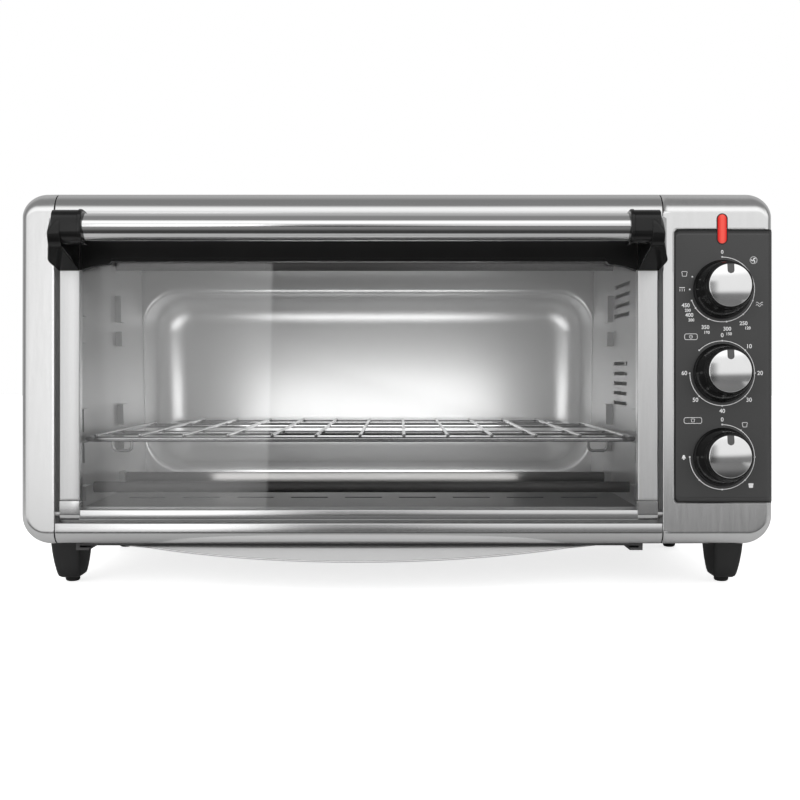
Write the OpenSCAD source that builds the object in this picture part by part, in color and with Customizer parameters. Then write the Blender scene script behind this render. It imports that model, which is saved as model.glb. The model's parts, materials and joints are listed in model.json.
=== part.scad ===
// Extra-wide countertop toaster oven with a drop-down glass door.
// +Z up, the front faces -Y, millimetres. Every piece is drawn with y = 0 where the leaning
// front plane meets the table, and placed() then centres the whole on the origin.

/* [Body] */
// Overall width of the casing
body_w = 546; // [500:1:620]
// Overall height, rubber feet included
body_h = 289; // [270:1:330]
// Depth of the case from the front plane, at table level, to the rear cover
case_d = 265; // [240:1:320]
// Height of the underside of the case above the table
foot_h = 34; // [32:1:44]
// Backward lean of the whole front, in degrees
lean = 5; // [2:0.5:8]
// Thickness of the outer sheet metal
sheet = 1.2; // [0.8:0.1:1.6]
// Radius of the roll between the front and the top
top_roll = 15; // [8:1:20]
// Radius of the roll between the front and the underside
bottom_roll = 10; // [6:1:14]
// Corner radius of the case seen from the front, at the top
corner_top = 17; // [8:1:24]
// Corner radius of the case seen from the front, at the bottom
corner_bottom = 21; // [8:1:26]
// Fillet between the front and each side
side_fillet = 6; // [3:0.5:9]
// Depth of the front bezels and trims
front_d = 26; // [22:1:34]
// Width of the bezel on the left of the door
left_bezel_w = 25.2; // [18:0.1:40]
// Width of the control column on the right of the door
column_w = 80.4; // [76:0.1:110]

/* [Door] */
// Gap between the door and the bezels on each side
door_gap = 3.6; // [2.5:0.1:5]
// Height of the trim below the door
sill_h = 18.5; // [16:0.5:26]
// Height of the trim above the door, along the lean
head_h = 22.1; // [20:0.1:34]
// Thickness of the door frame
door_t = 9; // [8:0.5:12]
// Width of the steel strip on each side of the glass
strip_w = 14.7; // [10:0.1:24]
// Thickness of the door glass
glass_t = 3.6; // [3:0.1:4]
// Height of the black top rail
top_rail_h = 28; // [20:1:36]
// Radius of the hinge pins
pin_r = 2; // [1.6:0.1:2.2]
// Outside radius of the handle tube
tube_r = 9.4; // [7:0.1:11]
// Distance from the door's face to the front of the handle tube
handle_reach = 46; // [38:1:52]

/* [Cavity] */
// Gap between the door's edges and the cavity's side walls
side_gap = 7.1; // [6:0.1:20]
// Gap between the cavity roof and the top of the case
roof_gap = 29; // [25:1:60]
// Gap between the cavity floor and the underside of the case
floor_gap = 23; // [21:1:34]
// Gap between the cavity's flat back and the rear cover
back_gap = 15; // [8:1:30]
// Depth of the pressed bulge in the cavity back
bulge_d = 78; // [50:1:84]
// Radius of the heating rods
rod_r = 4.3; // [3.5:0.1:5]

/* [Rack and tray] */
// Radius of the rack's frame wire
frame_wire_r = 2; // [1.6:0.1:2.4]
// Radius of the rack's cross wires
cross_wire_r = 1.3; // [1:0.1:1.6]
// Number of front-to-back wires
cross_wires = 13; // [7:2:17]
// Height of the rack's wires above the cavity floor
rack_lift = 51.7; // [40:0.1:60]
// Gap between the crumb tray's edges and the planes of the cavity's side walls
tray_gap = 4.5; // [4:0.1:40]
// How far the tray's bowed lip stands out in front of its corners
lip_bow = 70; // [30:1:80]

/* [Controls] */
// Radius of a knob's skirt
knob_r = 21.2; // [16:0.1:24]
// Radius of a knob's metal face
face_r = 15.3; // [12:0.1:17]
// Height of a knob's face above the panel
knob_h = 22.6; // [16:0.1:28]
// Distance from the panel's ends to the nearer knobs' centres, both together
knob_margin = 76.2; // [70:0.1:90]
// Radius of a control's shaft
shaft_r = 3; // [2.5:0.1:3.5]
// Radius of the fan wheel
fan_r = 40; // [28:1:44]

/* [Hidden] */
fn_round = 48;
slack = 0.3;              // free gap between pieces that lie next to each other
run = 0.1;                // radial clearance of a pin or a shaft in its bore
door_x = (left_bezel_w - column_w) / 2;   // middle of the door, the cavity, the rack and the tray
door_w = body_w - left_bezel_w - column_w - 2 * door_gap;
door_x0 = door_x - door_w / 2;
door_x1 = door_x + door_w / 2;
bezel_x0 = door_x0 - door_gap;
bezel_x1 = door_x1 + door_gap;
half_w = body_w / 2;

// Door, in leaned coordinates: u is the depth behind the front plane, s runs up the plane
door_s0 = foot_h + sill_h;
door_s1 = body_h / cos(lean) - head_h;
axis_u = door_t / 2;
axis_s = door_s0 + door_t / 2;
hinge_sweep = sqrt(2) * door_t / 2;
trim_s = axis_s - hinge_sweep - slack;   // top of the trim below the door
glass_u = 3.2;
strip_lip = 3.5;          // how far the glass runs under each strip
frame_u = door_t + 5;     // front face of the steel frame round the cavity's mouth
frame_t = 1.5;
head_s = door_s1 + 2;     // lower edge of the trim above the door

// Handle
tube_u = -(handle_reach - tube_r);
tube_s = door_s1 - 11.6;
cup_r = tube_r + 1.6;
cup_w = 29;               // length of the sleeve, from the door's edge inward
cup_depth = 14;           // how far the tube goes into the sleeve
bracket_drop = 35.3;      // height of the bracket's foot on the strip
handle_screw_s = [door_s1 - 28, door_s1 - 8];

// Cavity
wall_t = 1;
cav_h = door_w / 2 - side_gap;
cavity_top = body_h - roof_gap;
cavity_floor_z = foot_h + floor_gap;
cavity_d = case_d - back_gap;
rod_zs = [cavity_floor_z + 12, cavity_top - 12];
rod_ys = [75, cavity_d - 92];
bulge_half = cav_h - 1.5;
bulge_z0 = cavity_floor_z + 12.4;
bulge_z1 = cavity_top - 29.2;
bulge_r = 25;
hull_gap = 9;             // air gap round the cavity's bulge, inside the rear cover's
rear_gap = 16.8;          // air gap behind it
rear_y = cavity_d + bulge_d + wall_t + rear_gap + sheet;
spacer_h = 8;

// Rack guides: each is [low z, high z]; the rack's side wire runs in the gap between two
rack_z = cavity_floor_z + rack_lift;
slot_low = [rack_z - frame_wire_r - slack, rack_z + frame_wire_r + 3.6];
slot_rise = cavity_top - cavity_floor_z - 117;
slot_high = slot_low + [slot_rise, slot_rise];
guide_blocks = [
    [cavity_floor_z + 6, cavity_floor_z + 17],
    [slot_low[0] - 15, slot_low[0]],
    [slot_low[1], slot_low[1] + 17],
    [slot_high[0] - 12, slot_high[0]],
    [slot_high[1], slot_high[1] + 22],
];
guide_out = 5;
guide_d = 16;
guide_ys = [32, cavity_d - 100];

// Rack
rack_y0 = 39;
rack_d = cavity_d + bulge_d - rack_y0 - 14;
rack_half = cav_h - 3.5;
wire_pitch = (2 * rack_half - 17.2) / (cross_wires - 1);
narrow_half = rack_half - 16;
rack_step_y = cavity_d - 8;
rack_bar_ys = [cavity_d - 92, rack_step_y + 18];
hook_drop = 5;
hook_r = 1.2;
weld_sink = 0.5;          // how far the cross wires sink into the frame wire

// Tray
tray_z = foot_h - 3.4;
tray_half = cav_h - tray_gap;
tray_back = case_d - 8;
tray_t = 1;
rail_lip = 6;             // how far a rail reaches under the tray
rail_wall = 3.4;          // and how far it stands outside it
rail_front_y = 16;
lip_front_y = -25;
lip_fold_y = 12;
lip_drop = 4.4;

// The model's box is centred on the origin: from the tray's lip or the handle to the rear spacers
bracket_front = handle_reach + 2.2;   // front of the handle brackets
handle_front_y = -bracket_front * cos(lean) + (tube_s - 8) * sin(lean);
front_y = -(min(lip_front_y, handle_front_y) + rear_y + spacer_h) / 2;

// Controls
panel_x0 = bezel_x1 + 8.3;
panel_s0 = door_s0 + 12.8;
panel_s1 = door_s1 - 5.3;
panel_t = 1.8;
knob_x = (panel_x0 + half_w) / 2 - 1.6;
knob_pitch = (panel_s1 - panel_s0 - knob_margin) / 2;
knob_s = [for (i = [1:-1:-1]) (panel_s0 + panel_s1) / 2 - 5.3 + i * knob_pitch];
pointer_w = 5.2;
pointer_l = 7.1;
cap_t = 2;
shaft_seat = 7.2;         // distance from the knob's face to the end of its shaft
lens_w = 6.5;
lens_h = 21;
lens_s = panel_s1 + 0.4;
bracket_u = 9;            // front of the plate that carries the controls
control_w = [38, 46, 46];
control_d = [22, 32, 32];

// Fan chamber behind the cavity's right wall
chamber_x0 = door_x + cav_h + wall_t;
shield_x = chamber_x0 + 17;
fan_y = cavity_d - 132;
fan_z = (cavity_floor_z + cavity_top) / 2 + 6.5;
motor_r = 24;
fan_shaft_r = 2.5;
gland_x = half_w - 48;
gland_z = foot_h + 36;
vent_z = fan_z - 47;       // lowest rear vent
gland_r = 8;
gland_bore = 4.2;
screw_r = 1.7;
ear_t = 2;                // thickness of the hinge ears

// Feet
foot_x = half_w - 25;
foot_ys = [47, case_d - 53];
pad_h = 3.7;
pad_r = 5.5;

// ---------------------------------------------------------------- outlines and helpers

// Points of an arc about [cx, cy], from angle a0 to angle a1, both ends included.
function arc(cx, cy, r, a0, a1, n = 8) =
    [for (i = [0:n]) [cx + r * cos(a0 + (a1 - a0) * i / n), cy + r * sin(a0 + (a1 - a0) * i / n)]];

// Rectangle with one radius at its bottom corners and another at its top ones.
function rounded_box(x0, y0, x1, y1, rb, rt) = concat(
    arc(x0 + rb, y0 + rb, rb, 180, 270), arc(x1 - rb, y0 + rb, rb, 270, 360),
    arc(x1 - rt, y1 - rt, rt, 0, 90), arc(x0 + rt, y1 - rt, rt, 90, 180));

// Upright pill shape about [cx, cy].
function pill(cx, cy, w, h) = concat(
    arc(cx, cy - (h - w) / 2, w / 2, 180, 360, 16), arc(cx, cy + (h - w) / 2, w / 2, 0, 180, 16));

// Depth at height z of a plane that lies e behind the leaning front plane.
function behind(e, z) = z * tan(lean) + e / cos(lean);

// Side outline of the case as [y, z], moved inward by e: leaning front, rolled top and underside.
function side_outline(e) = let (
    zb = foot_h + bottom_roll, zt = body_h - top_roll, rear = case_d - e
) concat(
    [[rear, foot_h + e]],
    arc(behind(bottom_roll, zb), zb, bottom_roll - e, 270, 180 - lean),
    arc(behind(top_roll, zt), zt, top_roll - e, 180 - lean, 90),
    [[rear, body_h - e]]);

// Outline of the case seen from the front, moved inward by e.
function case_front(e) =
    rounded_box(-half_w + e, foot_h + e, half_w - e, body_h - e, corner_bottom - e, corner_top - e);

// Outline of the case seen from above, moved inward by e: the two front edges are rounded.
function case_plan(e) = concat(
    arc(-half_w + side_fillet, side_fillet, side_fillet - e, 180, 270),
    arc(half_w - side_fillet, side_fillet, side_fillet - e, 270, 360),
    [[half_w - e, 2 * case_d], [-half_w + e, 2 * case_d]]);

// Draws its children in the leaning frame, where y is the depth u and z is the height s.
module leaned() rotate([-lean, 0, 0]) children();

// Moves the drawing so that the model's box is centred over the origin.
module placed() translate([0, front_y, 0]) children();

// Box between two opposite corners.
module block(a, b) translate(a) cube(b - a);

// Cylinder along X from x0 to x1, at depth y and height z.
module bar_x(x0, x1, y, z, r)
    translate([x0, y, z]) rotate([0, 90, 0]) cylinder(r = r, h = x1 - x0, $fn = fn_round);

// Cylinder along Y from y0 to y1, at x and height z.
module bar_y(x, z, y0, y1, r)
    translate([x, y0, z]) rotate([-90, 0, 0]) cylinder(r = r, h = y1 - y0, $fn = fn_round);

// Prism of a [y, z] outline, from x0 to x1.
module side_prism(x0, x1, points)
    translate([x0, 0, 0]) rotate([90, 0, 90]) linear_extrude(x1 - x0) polygon(points);

// Prism of an [x, z] outline, from y0 to y1.
module front_prism(y0, y1, points)
    translate([0, y1, 0]) rotate([90, 0, 0]) linear_extrude(y1 - y0) polygon(points);

// Prism of an [x, y] outline, from z0 to z1.
module plan_prism(z0, z1, points) translate([0, 0, z0]) linear_extrude(z1 - z0) polygon(points);

// The whole case as a solid, moved inward by e.
module case_solid(e) intersection() {
    side_prism(-half_w, half_w, side_outline(e));
    front_prism(-body_h, 2 * case_d, case_front(e));
    leaned() plan_prism(-body_h, 2 * body_h, case_plan(e));
}

// The slab of space between depths u0 and u1 behind the front plane.
module front_slab(x0, x1, u0, u1) leaned() block([x0, u0, -body_h], [x1, u1, 2 * body_h]);

// ---------------------------------------------------------------- casing

// A front bezel: the case's skin between x0 and x1, with a return wall beside the door.
// side is -1 for the left bezel and 1 for the right one.
module bezel(x0, x1, side) {
    wall_x = side < 0 ? x1 - sheet : x0;
    difference() {
        intersection() {
            case_solid(0);
            front_slab(x0, x1, -1, front_d);
        }
        intersection() {
            case_solid(sheet);
            front_slab(side < 0 ? x0 : x0 + sheet, side < 0 ? x1 - sheet : x1, -1, front_d + 1);
        }
        leaned() bar_x(wall_x - 0.5, wall_x + sheet + 0.5, axis_u, axis_s, pin_r + 1.2);
    }
}

module left_bezel() color("gainsboro") bezel(-half_w, bezel_x0, -1);

module right_bezel() color("gainsboro") difference() {
    bezel(bezel_x1, half_w, 1);
    leaned() {
        block([panel_x0 - slack, -1, panel_s0 - slack], [half_w + 1, side_fillet + 2, panel_s1 + slack]);
        front_prism(-1, front_d, pill(knob_x, lens_s, lens_w + 2 * slack, lens_h + 2 * slack));
    }
}

// A trim between the two bezels: the case's skin from s0 to s1, with a shelf back to the face frame.
module trim(s0, s1, shelf_s) {
    intersection() {
        difference() {
            case_solid(0);
            case_solid(sheet);
        }
        leaned() block([bezel_x0, -1, s0], [bezel_x1, front_d, s1]);
    }
    leaned() block([bezel_x0, sheet / 2, shelf_s], [bezel_x1, frame_u, shelf_s + sheet]);
}

module top_trim() color("silver") trim(head_s, 2 * body_h, head_s);
module bottom_trim() color("silver") trim(-body_h, trim_s, trim_s - sheet);

// A stretch of the case's skin behind the bezels, between heights z0 and z1.
module wrap(x0, x1, z0, z1) intersection() {
    difference() {
        front_prism(0, case_d - sheet, case_front(0));
        front_prism(-1, case_d, case_front(sheet));
    }
    leaned() block([x0, front_d, -body_h], [x1, 2 * case_d, 2 * body_h]);
    block([x0, 0, z0], [x1, case_d, z1]);
}

module top_cover() color("silver") wrap(-half_w, half_w, body_h - corner_top, body_h);

module left_side_panel() color("gray")
    wrap(-half_w, -half_w + corner_bottom, foot_h, body_h - corner_top);

module right_side_panel() color("gray") difference() {
    wrap(half_w - corner_bottom, half_w, foot_h, body_h - corner_top);
    for (i = [0:7]) translate([half_w - 3, fan_y + 12, fan_z - 15 + i * 11]) cube([4, 85, 4]);
}

// Outline of the rear bulge, moved out by e from the cavity's own.
function bulge_outline(e) = rounded_box(
    door_x - bulge_half - e, bulge_z0 - e, door_x + bulge_half + e, bulge_z1 + e, bulge_r + e, bulge_r + e);

screw_spots = concat(
    [for (x = [-3, -1, 1, 3], z = [foot_h + 12, body_h - 12]) [x * body_w / 7, z]],
    [for (side = [-1, 1]) [side * (half_w - 10), (foot_h + body_h) / 2]]);

module rear_cover() color("dimgray") difference() {
    union() {
        front_prism(case_d - sheet, case_d, case_front(0));
        front_prism(case_d - sheet, rear_y, bulge_outline(hull_gap));
    }
    front_prism(case_d - 2 * sheet, rear_y - sheet, bulge_outline(hull_gap - sheet));
    for (p = screw_spots) bar_y(p[0], p[1], case_d - 5, case_d + 5, screw_r + slack);
    for (i = [-6:5]) translate([door_x + 4 + i * 22, rear_y - 3, vent_z]) cube([14, 4, 50]);
    for (i = [0:6]) translate([half_w - 54, case_d - 4, vent_z + 22 + i * 14]) cube([32, 5, 5]);
    bar_y(gland_x, gland_z, case_d - 5, case_d + 5, gland_r + run);
}

module rear_spacers() color("black") for (x = [-170, 170], z = [bulge_z0 + 20, bulge_z1 - 20])
    bar_y(door_x + x, z, rear_y, rear_y + spacer_h, 9);

module base_plate() color("dimgray") difference() {
    block([-half_w + corner_bottom, 0, foot_h], [half_w - corner_bottom, case_d - sheet, foot_h + sheet]);
    front_slab(-half_w, half_w, -body_h, front_d);
    for (x = [-180:40:140], y = [70, 130, 190]) block([x - 14, y, foot_h - 1], [x + 14, y + 5, foot_h + 3]);
}

module case_screws() color("silver") for (p = screw_spots) {
    bar_y(p[0], p[1], case_d, case_d + 2.2, 2.2 * screw_r);
    bar_y(p[0], p[1], case_d - 6, case_d, screw_r);
}

// ---------------------------------------------------------------- oven cavity

// Steel frame round the cavity's mouth; its lower flange shows under the glass.
module face_frame() color("silver") leaned() difference() {
    block([bezel_x0, frame_u, trim_s - sheet], [bezel_x1, frame_u + frame_t, head_s + 12]);
    block([door_x - cav_h, frame_u - 1, cavity_floor_z + 4.6], [door_x + cav_h, frame_u + 3, cavity_top - 2]);
}

// Prism of the cavity's length, from behind the leaning face frame to the back, between z0 and z1.
module cavity_prism(x0, x1, z0, z1) side_prism(x0, x1, [
    [behind(frame_u + frame_t, z0), z0], [behind(frame_u + frame_t, z1), z1], [cavity_d, z1], [cavity_d, z0]]);

// Pressed guide blocks that the rack slides between; the front ones end where the face frame begins.
module guides(x0, x1) intersection() {
    for (y = guide_ys, b = guide_blocks) block([x0, y, b[0]], [x1, y + guide_d, b[1]]);
    cavity_prism(x0 - 1, x1 + 1, cavity_floor_z, cavity_top);
}

// Holes for the ends of the four heating rods, through the wall and any guide block in front of it.
module rod_holes(x) for (y = rod_ys, z = rod_zs)
    bar_x(x - guide_out - 2, x + guide_out + 2, y, z, rod_r + slack);

module cavity_left_wall() color("lightgray") difference() {
    union() {
        cavity_prism(door_x - cav_h - wall_t, door_x - cav_h, cavity_floor_z, cavity_top);
        guides(door_x - cav_h - wall_t / 2, door_x - cav_h + guide_out);
    }
    rod_holes(door_x - cav_h);
}

module cavity_right_wall() color("lightgray") difference() {
    union() {
        cavity_prism(door_x + cav_h, door_x + cav_h + wall_t, cavity_floor_z, cavity_top);
        guides(door_x + cav_h - guide_out, door_x + cav_h + wall_t / 2);
    }
    rod_holes(door_x + cav_h);
    for (i = [0:3]) translate([door_x + cav_h - 1, fan_y - 32, cavity_top - 57 + i * 8]) cube([3, 58, 3]);
    for (i = [0:4]) translate([door_x + cav_h - 1, fan_y - 28, fan_z - 33 + i * 8]) cube([3, 54, 3]);
}

module cavity_roof() color("lightgray")
    cavity_prism(door_x - cav_h - wall_t, door_x + cav_h + wall_t, cavity_top, cavity_top + wall_t);

module cavity_floor() color("darkgray") difference() {
    cavity_prism(door_x - cav_h - wall_t, door_x + cav_h + wall_t, cavity_floor_z - wall_t, cavity_floor_z);
    for (i = [-4:4], y = rod_ys) translate([door_x + i * 44 - 15, y + 30, cavity_floor_z - 3]) cube([30, 6, 4]);
}

module cavity_back() color("lightgray") difference() {
    union() {
        block([door_x - cav_h - wall_t, cavity_d, cavity_floor_z - wall_t],
              [door_x + cav_h + wall_t, cavity_d + wall_t, cavity_top + wall_t]);
        front_prism(cavity_d, cavity_d + bulge_d + wall_t, bulge_outline(wall_t));
    }
    front_prism(cavity_d - 1, cavity_d + bulge_d, bulge_outline(0));
}

// The two heating rods at height z.
module heaters(z) for (y = rod_ys) bar_x(door_x - cav_h - 6, door_x + cav_h + 6, y, z, rod_r);

module upper_heaters() color("dimgray") heaters(rod_zs[1]);
module lower_heaters() color("dimgray") heaters(rod_zs[0]);

// Ceramic ends that carry the rods outside the cavity walls.
module heater_insulators() color("white") for (y = rod_ys, z = rod_zs, side = [-1, 1])
    translate([door_x + side * (cav_h + wall_t), y, z]) rotate([0, side * 90, 0]) difference() {
        cylinder(r = rod_r + 2.6, h = 10, $fn = fn_round);
        translate([0, 0, -1]) cylinder(r = rod_r + run, h = 7, $fn = fn_round);
    }

// ---------------------------------------------------------------- fan and electrics

module heat_shield() color("silver") difference() {
    block([shield_x, front_d + 26, foot_h + sheet], [shield_x + 1, case_d - sheet, body_h - 16]);
    bar_x(shield_x - 1, shield_x + 2, fan_y, fan_z, 7);
}

module fan_motor() color("gray") difference() {
    union() {
        bar_x(shield_x + 4, shield_x + 33, fan_y, fan_z, motor_r);
        block([shield_x + 1, fan_y - 32, fan_z - 9], [shield_x + 5, fan_y + 32, fan_z + 9]);
    }
    bar_x(shield_x, shield_x + 28, fan_y, fan_z, fan_shaft_r + run);
}

module fan_shaft() color("silver") bar_x(chamber_x0 + 3, shield_x + 26, fan_y, fan_z, fan_shaft_r);

module fan_wheel() color("silver") translate([chamber_x0 + 4, fan_y, fan_z]) rotate([0, 90, 0]) difference() {
    union() {
        translate([0, 0, 8]) cylinder(r = fan_r, h = 1, $fn = fn_round);
        cylinder(r = 7, h = 9, $fn = fn_round);
        for (i = [0:7]) rotate([0, 0, i * 45]) translate([6, -0.5, 0.5]) cube([fan_r - 8, 1, 8]);
    }
    translate([0, 0, -1]) cylinder(r = fan_shaft_r + 0.02, h = 12, $fn = fn_round);
}

module terminal_block() color("ivory")
    block([half_w - 48, case_d - 60, foot_h + sheet], [half_w - 24, case_d - 20, foot_h + 18]);

module cord_gland() color("black") difference() {
    union() {
        bar_y(gland_x, gland_z, case_d - 5, case_d + 9, gland_r);
        bar_y(gland_x, gland_z, case_d, case_d + 2.5, gland_r + 2.5);
        bar_y(gland_x, gland_z, case_d - 5, case_d - sheet, gland_r + 1.5);
    }
    bar_y(gland_x, gland_z, case_d - 9, case_d + 12, gland_bore);
}

// ---------------------------------------------------------------- controls

// Painted plate with its right edge wrapped round the case, and the holes for shafts and lens.
module control_panel() color("dimgray") leaned() difference() {
    intersection() {
        difference() {
            plan_prism(panel_s0, panel_s1, case_plan(0));
            plan_prism(panel_s0 - 1, panel_s1 + 1, case_plan(panel_t));
        }
        block([panel_x0, -1, panel_s0], [half_w + 1, side_fillet + 2 - slack, panel_s1]);
    }
    front_prism(-1, front_d, pill(knob_x, lens_s, lens_w + 2 * slack, lens_h + 2 * slack));
    for (s = knob_s) bar_y(knob_x, s, -1, front_d, shaft_r + 2);
}

module control_bracket() color("silver") leaned() difference() {
    block([bezel_x1 + sheet, bracket_u, panel_s0 + 4], [half_w - 6, bracket_u + sheet, panel_s1 - 14]);
    for (s = knob_s) bar_y(knob_x, s, 0, front_d, shaft_r + 2);
}

module indicator_lens() color("red") leaned() front_prism(-1.2, 5, pill(knob_x, lens_s, lens_w, lens_h));

module indicator_lamp() color("orangered") leaned() bar_y(knob_x, lens_s, 5, 18, 2.6);

// A control on the plate behind the panel, with the bore that its shaft turns in.
module control_body(i, w, d) leaned() difference() {
    union() {
        translate([knob_x - w / 2, bracket_u + sheet, knob_s[i] - w / 2]) cube([w, d - sheet, w]);
        bar_y(knob_x, knob_s[i], bracket_u - 4, bracket_u + 3, shaft_r + 1.6);
    }
    bar_y(knob_x, knob_s[i], 0, bracket_u + d - 4, shaft_r + run);
}

module thermostat() color("ivory") control_body(0, control_w[0], control_d[0]);
module oven_timer() color("gainsboro") control_body(1, control_w[1], control_d[1]);
module toast_timer() color("gainsboro") control_body(2, control_w[2], control_d[2]);

module timer_bell() color("silver") leaned() {
    bar_y(knob_x, knob_s[1], bracket_u + control_d[1], bracket_u + control_d[1] + 4, 4);
    bar_y(knob_x, knob_s[1], bracket_u + control_d[1] + 3, bracket_u + control_d[1] + 9, 17);
}

// Draws its children on the axis of control i: +Z out of the panel and +Y up it.
module on_panel(i) leaned() translate([knob_x, 0, knob_s[i]]) rotate([90, 0, 0]) children();

// The knob's black body: a stepped skirt and the pointer rib that fills the cap's notch.
module knob(i) color("black") on_panel(i) difference() {
    union() {
        rotate_extrude($fn = 64) polygon([
            [0, 3], [knob_r - 3, 3], [knob_r - 3, 1], [knob_r, 1], [knob_r, 3.4], [knob_r - 2.2, 4.6],
            [face_r + 1.6, knob_h - cap_t - 1], [face_r + 1.2, knob_h - cap_t], [0, knob_h - cap_t]]);
        translate([-pointer_w / 2, face_r - pointer_l, 4]) cube([pointer_w, pointer_l - 0.6, knob_h - 4.2]);
    }
    cylinder(r = shaft_r + 0.02, h = knob_h - shaft_seat + 0.2, $fn = fn_round);
}

// The knob's metal face, with a notch round the pointer rib.
module knob_cap(i) color("silver") on_panel(i) difference() {
    translate([0, 0, knob_h - cap_t]) cylinder(r = face_r, h = cap_t, $fn = 64);
    translate([-pointer_w / 2 - slack, face_r - pointer_l - slack, 0])
        cube([pointer_w + 2 * slack, pointer_l + 2, knob_h + 1]);
}

module knob_shaft(i) color("silver") leaned()
    bar_y(knob_x, knob_s[i], shaft_seat - knob_h, bracket_u + control_d[i] - 5, shaft_r);

module temperature_knob() knob(0);
module temperature_cap() knob_cap(0);
module temperature_shaft() knob_shaft(0);
module timer_knob() knob(1);
module timer_cap() knob_cap(1);
module timer_shaft() knob_shaft(1);
module toast_knob() knob(2);
module toast_cap() knob_cap(2);
module toast_shaft() knob_shaft(2);

// ---------------------------------------------------------------- feet, hinges and tray rails

// Outline of a foot in one direction: straight under the case, then tapered to the pad.
function foot_outline(c, top, waist, bottom) = [
    [c - top, foot_h], [c - waist, foot_h - 12], [c - bottom, pad_h],
    [c + bottom, pad_h], [c + waist, foot_h - 12], [c + top, foot_h]];

module feet() color("black") for (x = [-foot_x, foot_x], y = foot_ys) intersection() {
    front_prism(y - 30, y + 30, foot_outline(x, 10, 9.5, 6));
    side_prism(x - 30, x + 30, foot_outline(y, 19, 17, 10));
}

module foot_pads() color("black") for (x = [-foot_x, foot_x], y = foot_ys)
    translate([x, y, 0]) cylinder(r = pad_r, h = pad_h, $fn = fn_round);

// An ear on each bezel's return wall, with the bore that the hinge pin turns in.
module hinge_ear(x0) {
    r = axis_u - sheet - slack;
    leaned() difference() {
        side_prism(x0, x0 + ear_t, concat(arc(axis_u, axis_s, r, 90, 270, 16),
            [[frame_u - 1, axis_s - r], [frame_u - 1, axis_s + 3 * r], [axis_u + 3, axis_s + 3 * r]]));
        bar_x(x0 - 1, x0 + ear_t + 1, axis_u, axis_s, pin_r + run);
    }
}

module hinge_brackets() color("silver") {
    hinge_ear(bezel_x0 - sheet - ear_t);
    hinge_ear(bezel_x1 + sheet);
}

// Black channels under the case that carry the crumb tray, tied by a bar across the front.
module tray_rails() color("black") {
    for (side = [-1, 1]) {
        outer = door_x + side * (tray_half + rail_wall);
        inner = door_x + side * (tray_half - rail_lip);
        groove = door_x + side * (tray_half + 2 * slack);
        difference() {
            block([min(outer, inner), rail_front_y, tray_z - 2.2], [max(outer, inner), case_d - 2, foot_h]);
            block([min(groove, inner) - (side > 0 ? 1 : 0), rail_front_y - 1, tray_z - slack],
                  [max(groove, inner) + (side > 0 ? 0 : 1), case_d, tray_z + tray_t + slack]);
        }
    }
    tie_z = tray_z + tray_t + slack;
    block([door_x - tray_half + 3, rail_front_y, tie_z], [door_x + tray_half - 3, rail_front_y + 5, foot_h]);
}

// ---------------------------------------------------------------- door

module door_glass() color([0.7, 0.8, 0.8, 0.4]) leaned() block(
    [door_x0 + strip_w - strip_lip, glass_u, door_s0 + 3.2],
    [door_x1 - strip_w + strip_lip, glass_u + glass_t, door_s1 - 6]);

// The space that the glass needs, with its slack.
module glass_room() leaned() block(
    [door_x0 + strip_w - strip_lip - slack, glass_u - slack / 2, door_s0 + 3],
    [door_x1 - strip_w + strip_lip + slack, glass_u + glass_t + slack / 2, door_s1 - 6 + slack]);

// A steel strip beside the glass, with the groove that holds its edge.
module door_strip(x0) difference() {
    leaned() block([x0, 0, door_s0 + 14], [x0 + strip_w, door_t, door_s1]);
    glass_room();
    leaned() for (s = handle_screw_s) bar_y(x0 + strip_w / 2, s, -1, door_t + 1, screw_r + slack);
}

module door_left_strip() color("gainsboro") door_strip(door_x0);
module door_right_strip() color("gainsboro") door_strip(door_x1 - strip_w);

// Black rail over the top of the glass; it steps down towards the handle brackets.
module door_top_rail() color("black") difference() {
    edge = door_w / 2 - strip_w;
    lower = door_s1 - top_rail_h;
    union() {
        leaned() block([door_x - edge, 1, lower], [door_x + edge, door_t, door_s1]);
        for (side = [-1, 1]) leaned() front_prism(1, glass_u + 1, [
            [door_x + side * edge, lower + 1], [door_x + side * edge, door_s1 - bracket_drop],
            [door_x + side * (edge - 9), lower - 4.4], [door_x + side * (edge - 34), lower - 2.4],
            [door_x + side * (edge - 36), lower + 1]]);
    }
    glass_room();
}

// Channel under the glass, with a rounded end block at each side for the hinge pin.
module door_bottom_rail() color("silver") difference() {
    union() {
        leaned() difference() {
            block([door_x0 + strip_w - 1, 0.8, door_s0], [door_x1 - strip_w + 1, door_t, door_s0 + 7.5]);
            block([door_x0, -1, door_s0 + 3], [door_x1, glass_u, door_s1]);
        }
        for (x = [door_x0, door_x1 - strip_w]) leaned() side_prism(x, x + strip_w, concat(
            arc(axis_u, axis_s, door_t / 2, 180, 360, 16), [[door_t, door_s0 + 14], [0, door_s0 + 14]]));
    }
    glass_room();
    leaned() for (x = [door_x0, door_x1 - 10]) bar_x(x - 1, x + 11, axis_u, axis_s, pin_r + 0.02);
}

module hinge_pins() color("silver") leaned() {
    bar_x(bezel_x0 - sheet - ear_t, door_x0 + 9, axis_u, axis_s, pin_r);
    bar_x(door_x1 - 9, bezel_x1 + sheet + ear_t, axis_u, axis_s, pin_r);
}

module door_bumpers() color("dimgray") leaned() for (side = [-1, 1])
    bar_y(door_x + side * (door_w / 2 - strip_w - 20), door_s1 - 4, door_t, frame_u - slack, 3);

// Side outline of a handle bracket as [u, s]: it slopes out from the strip to the tube.
function bracket_outline() = [
    [0, door_s1 - bracket_drop], [tube_u - 8, tube_s - 14], [-bracket_front, tube_s - 8],
    [-bracket_front, tube_s + 5], [tube_u - 4, tube_s + cup_r + 1.4], [0, door_s1 - 1]];

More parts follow.
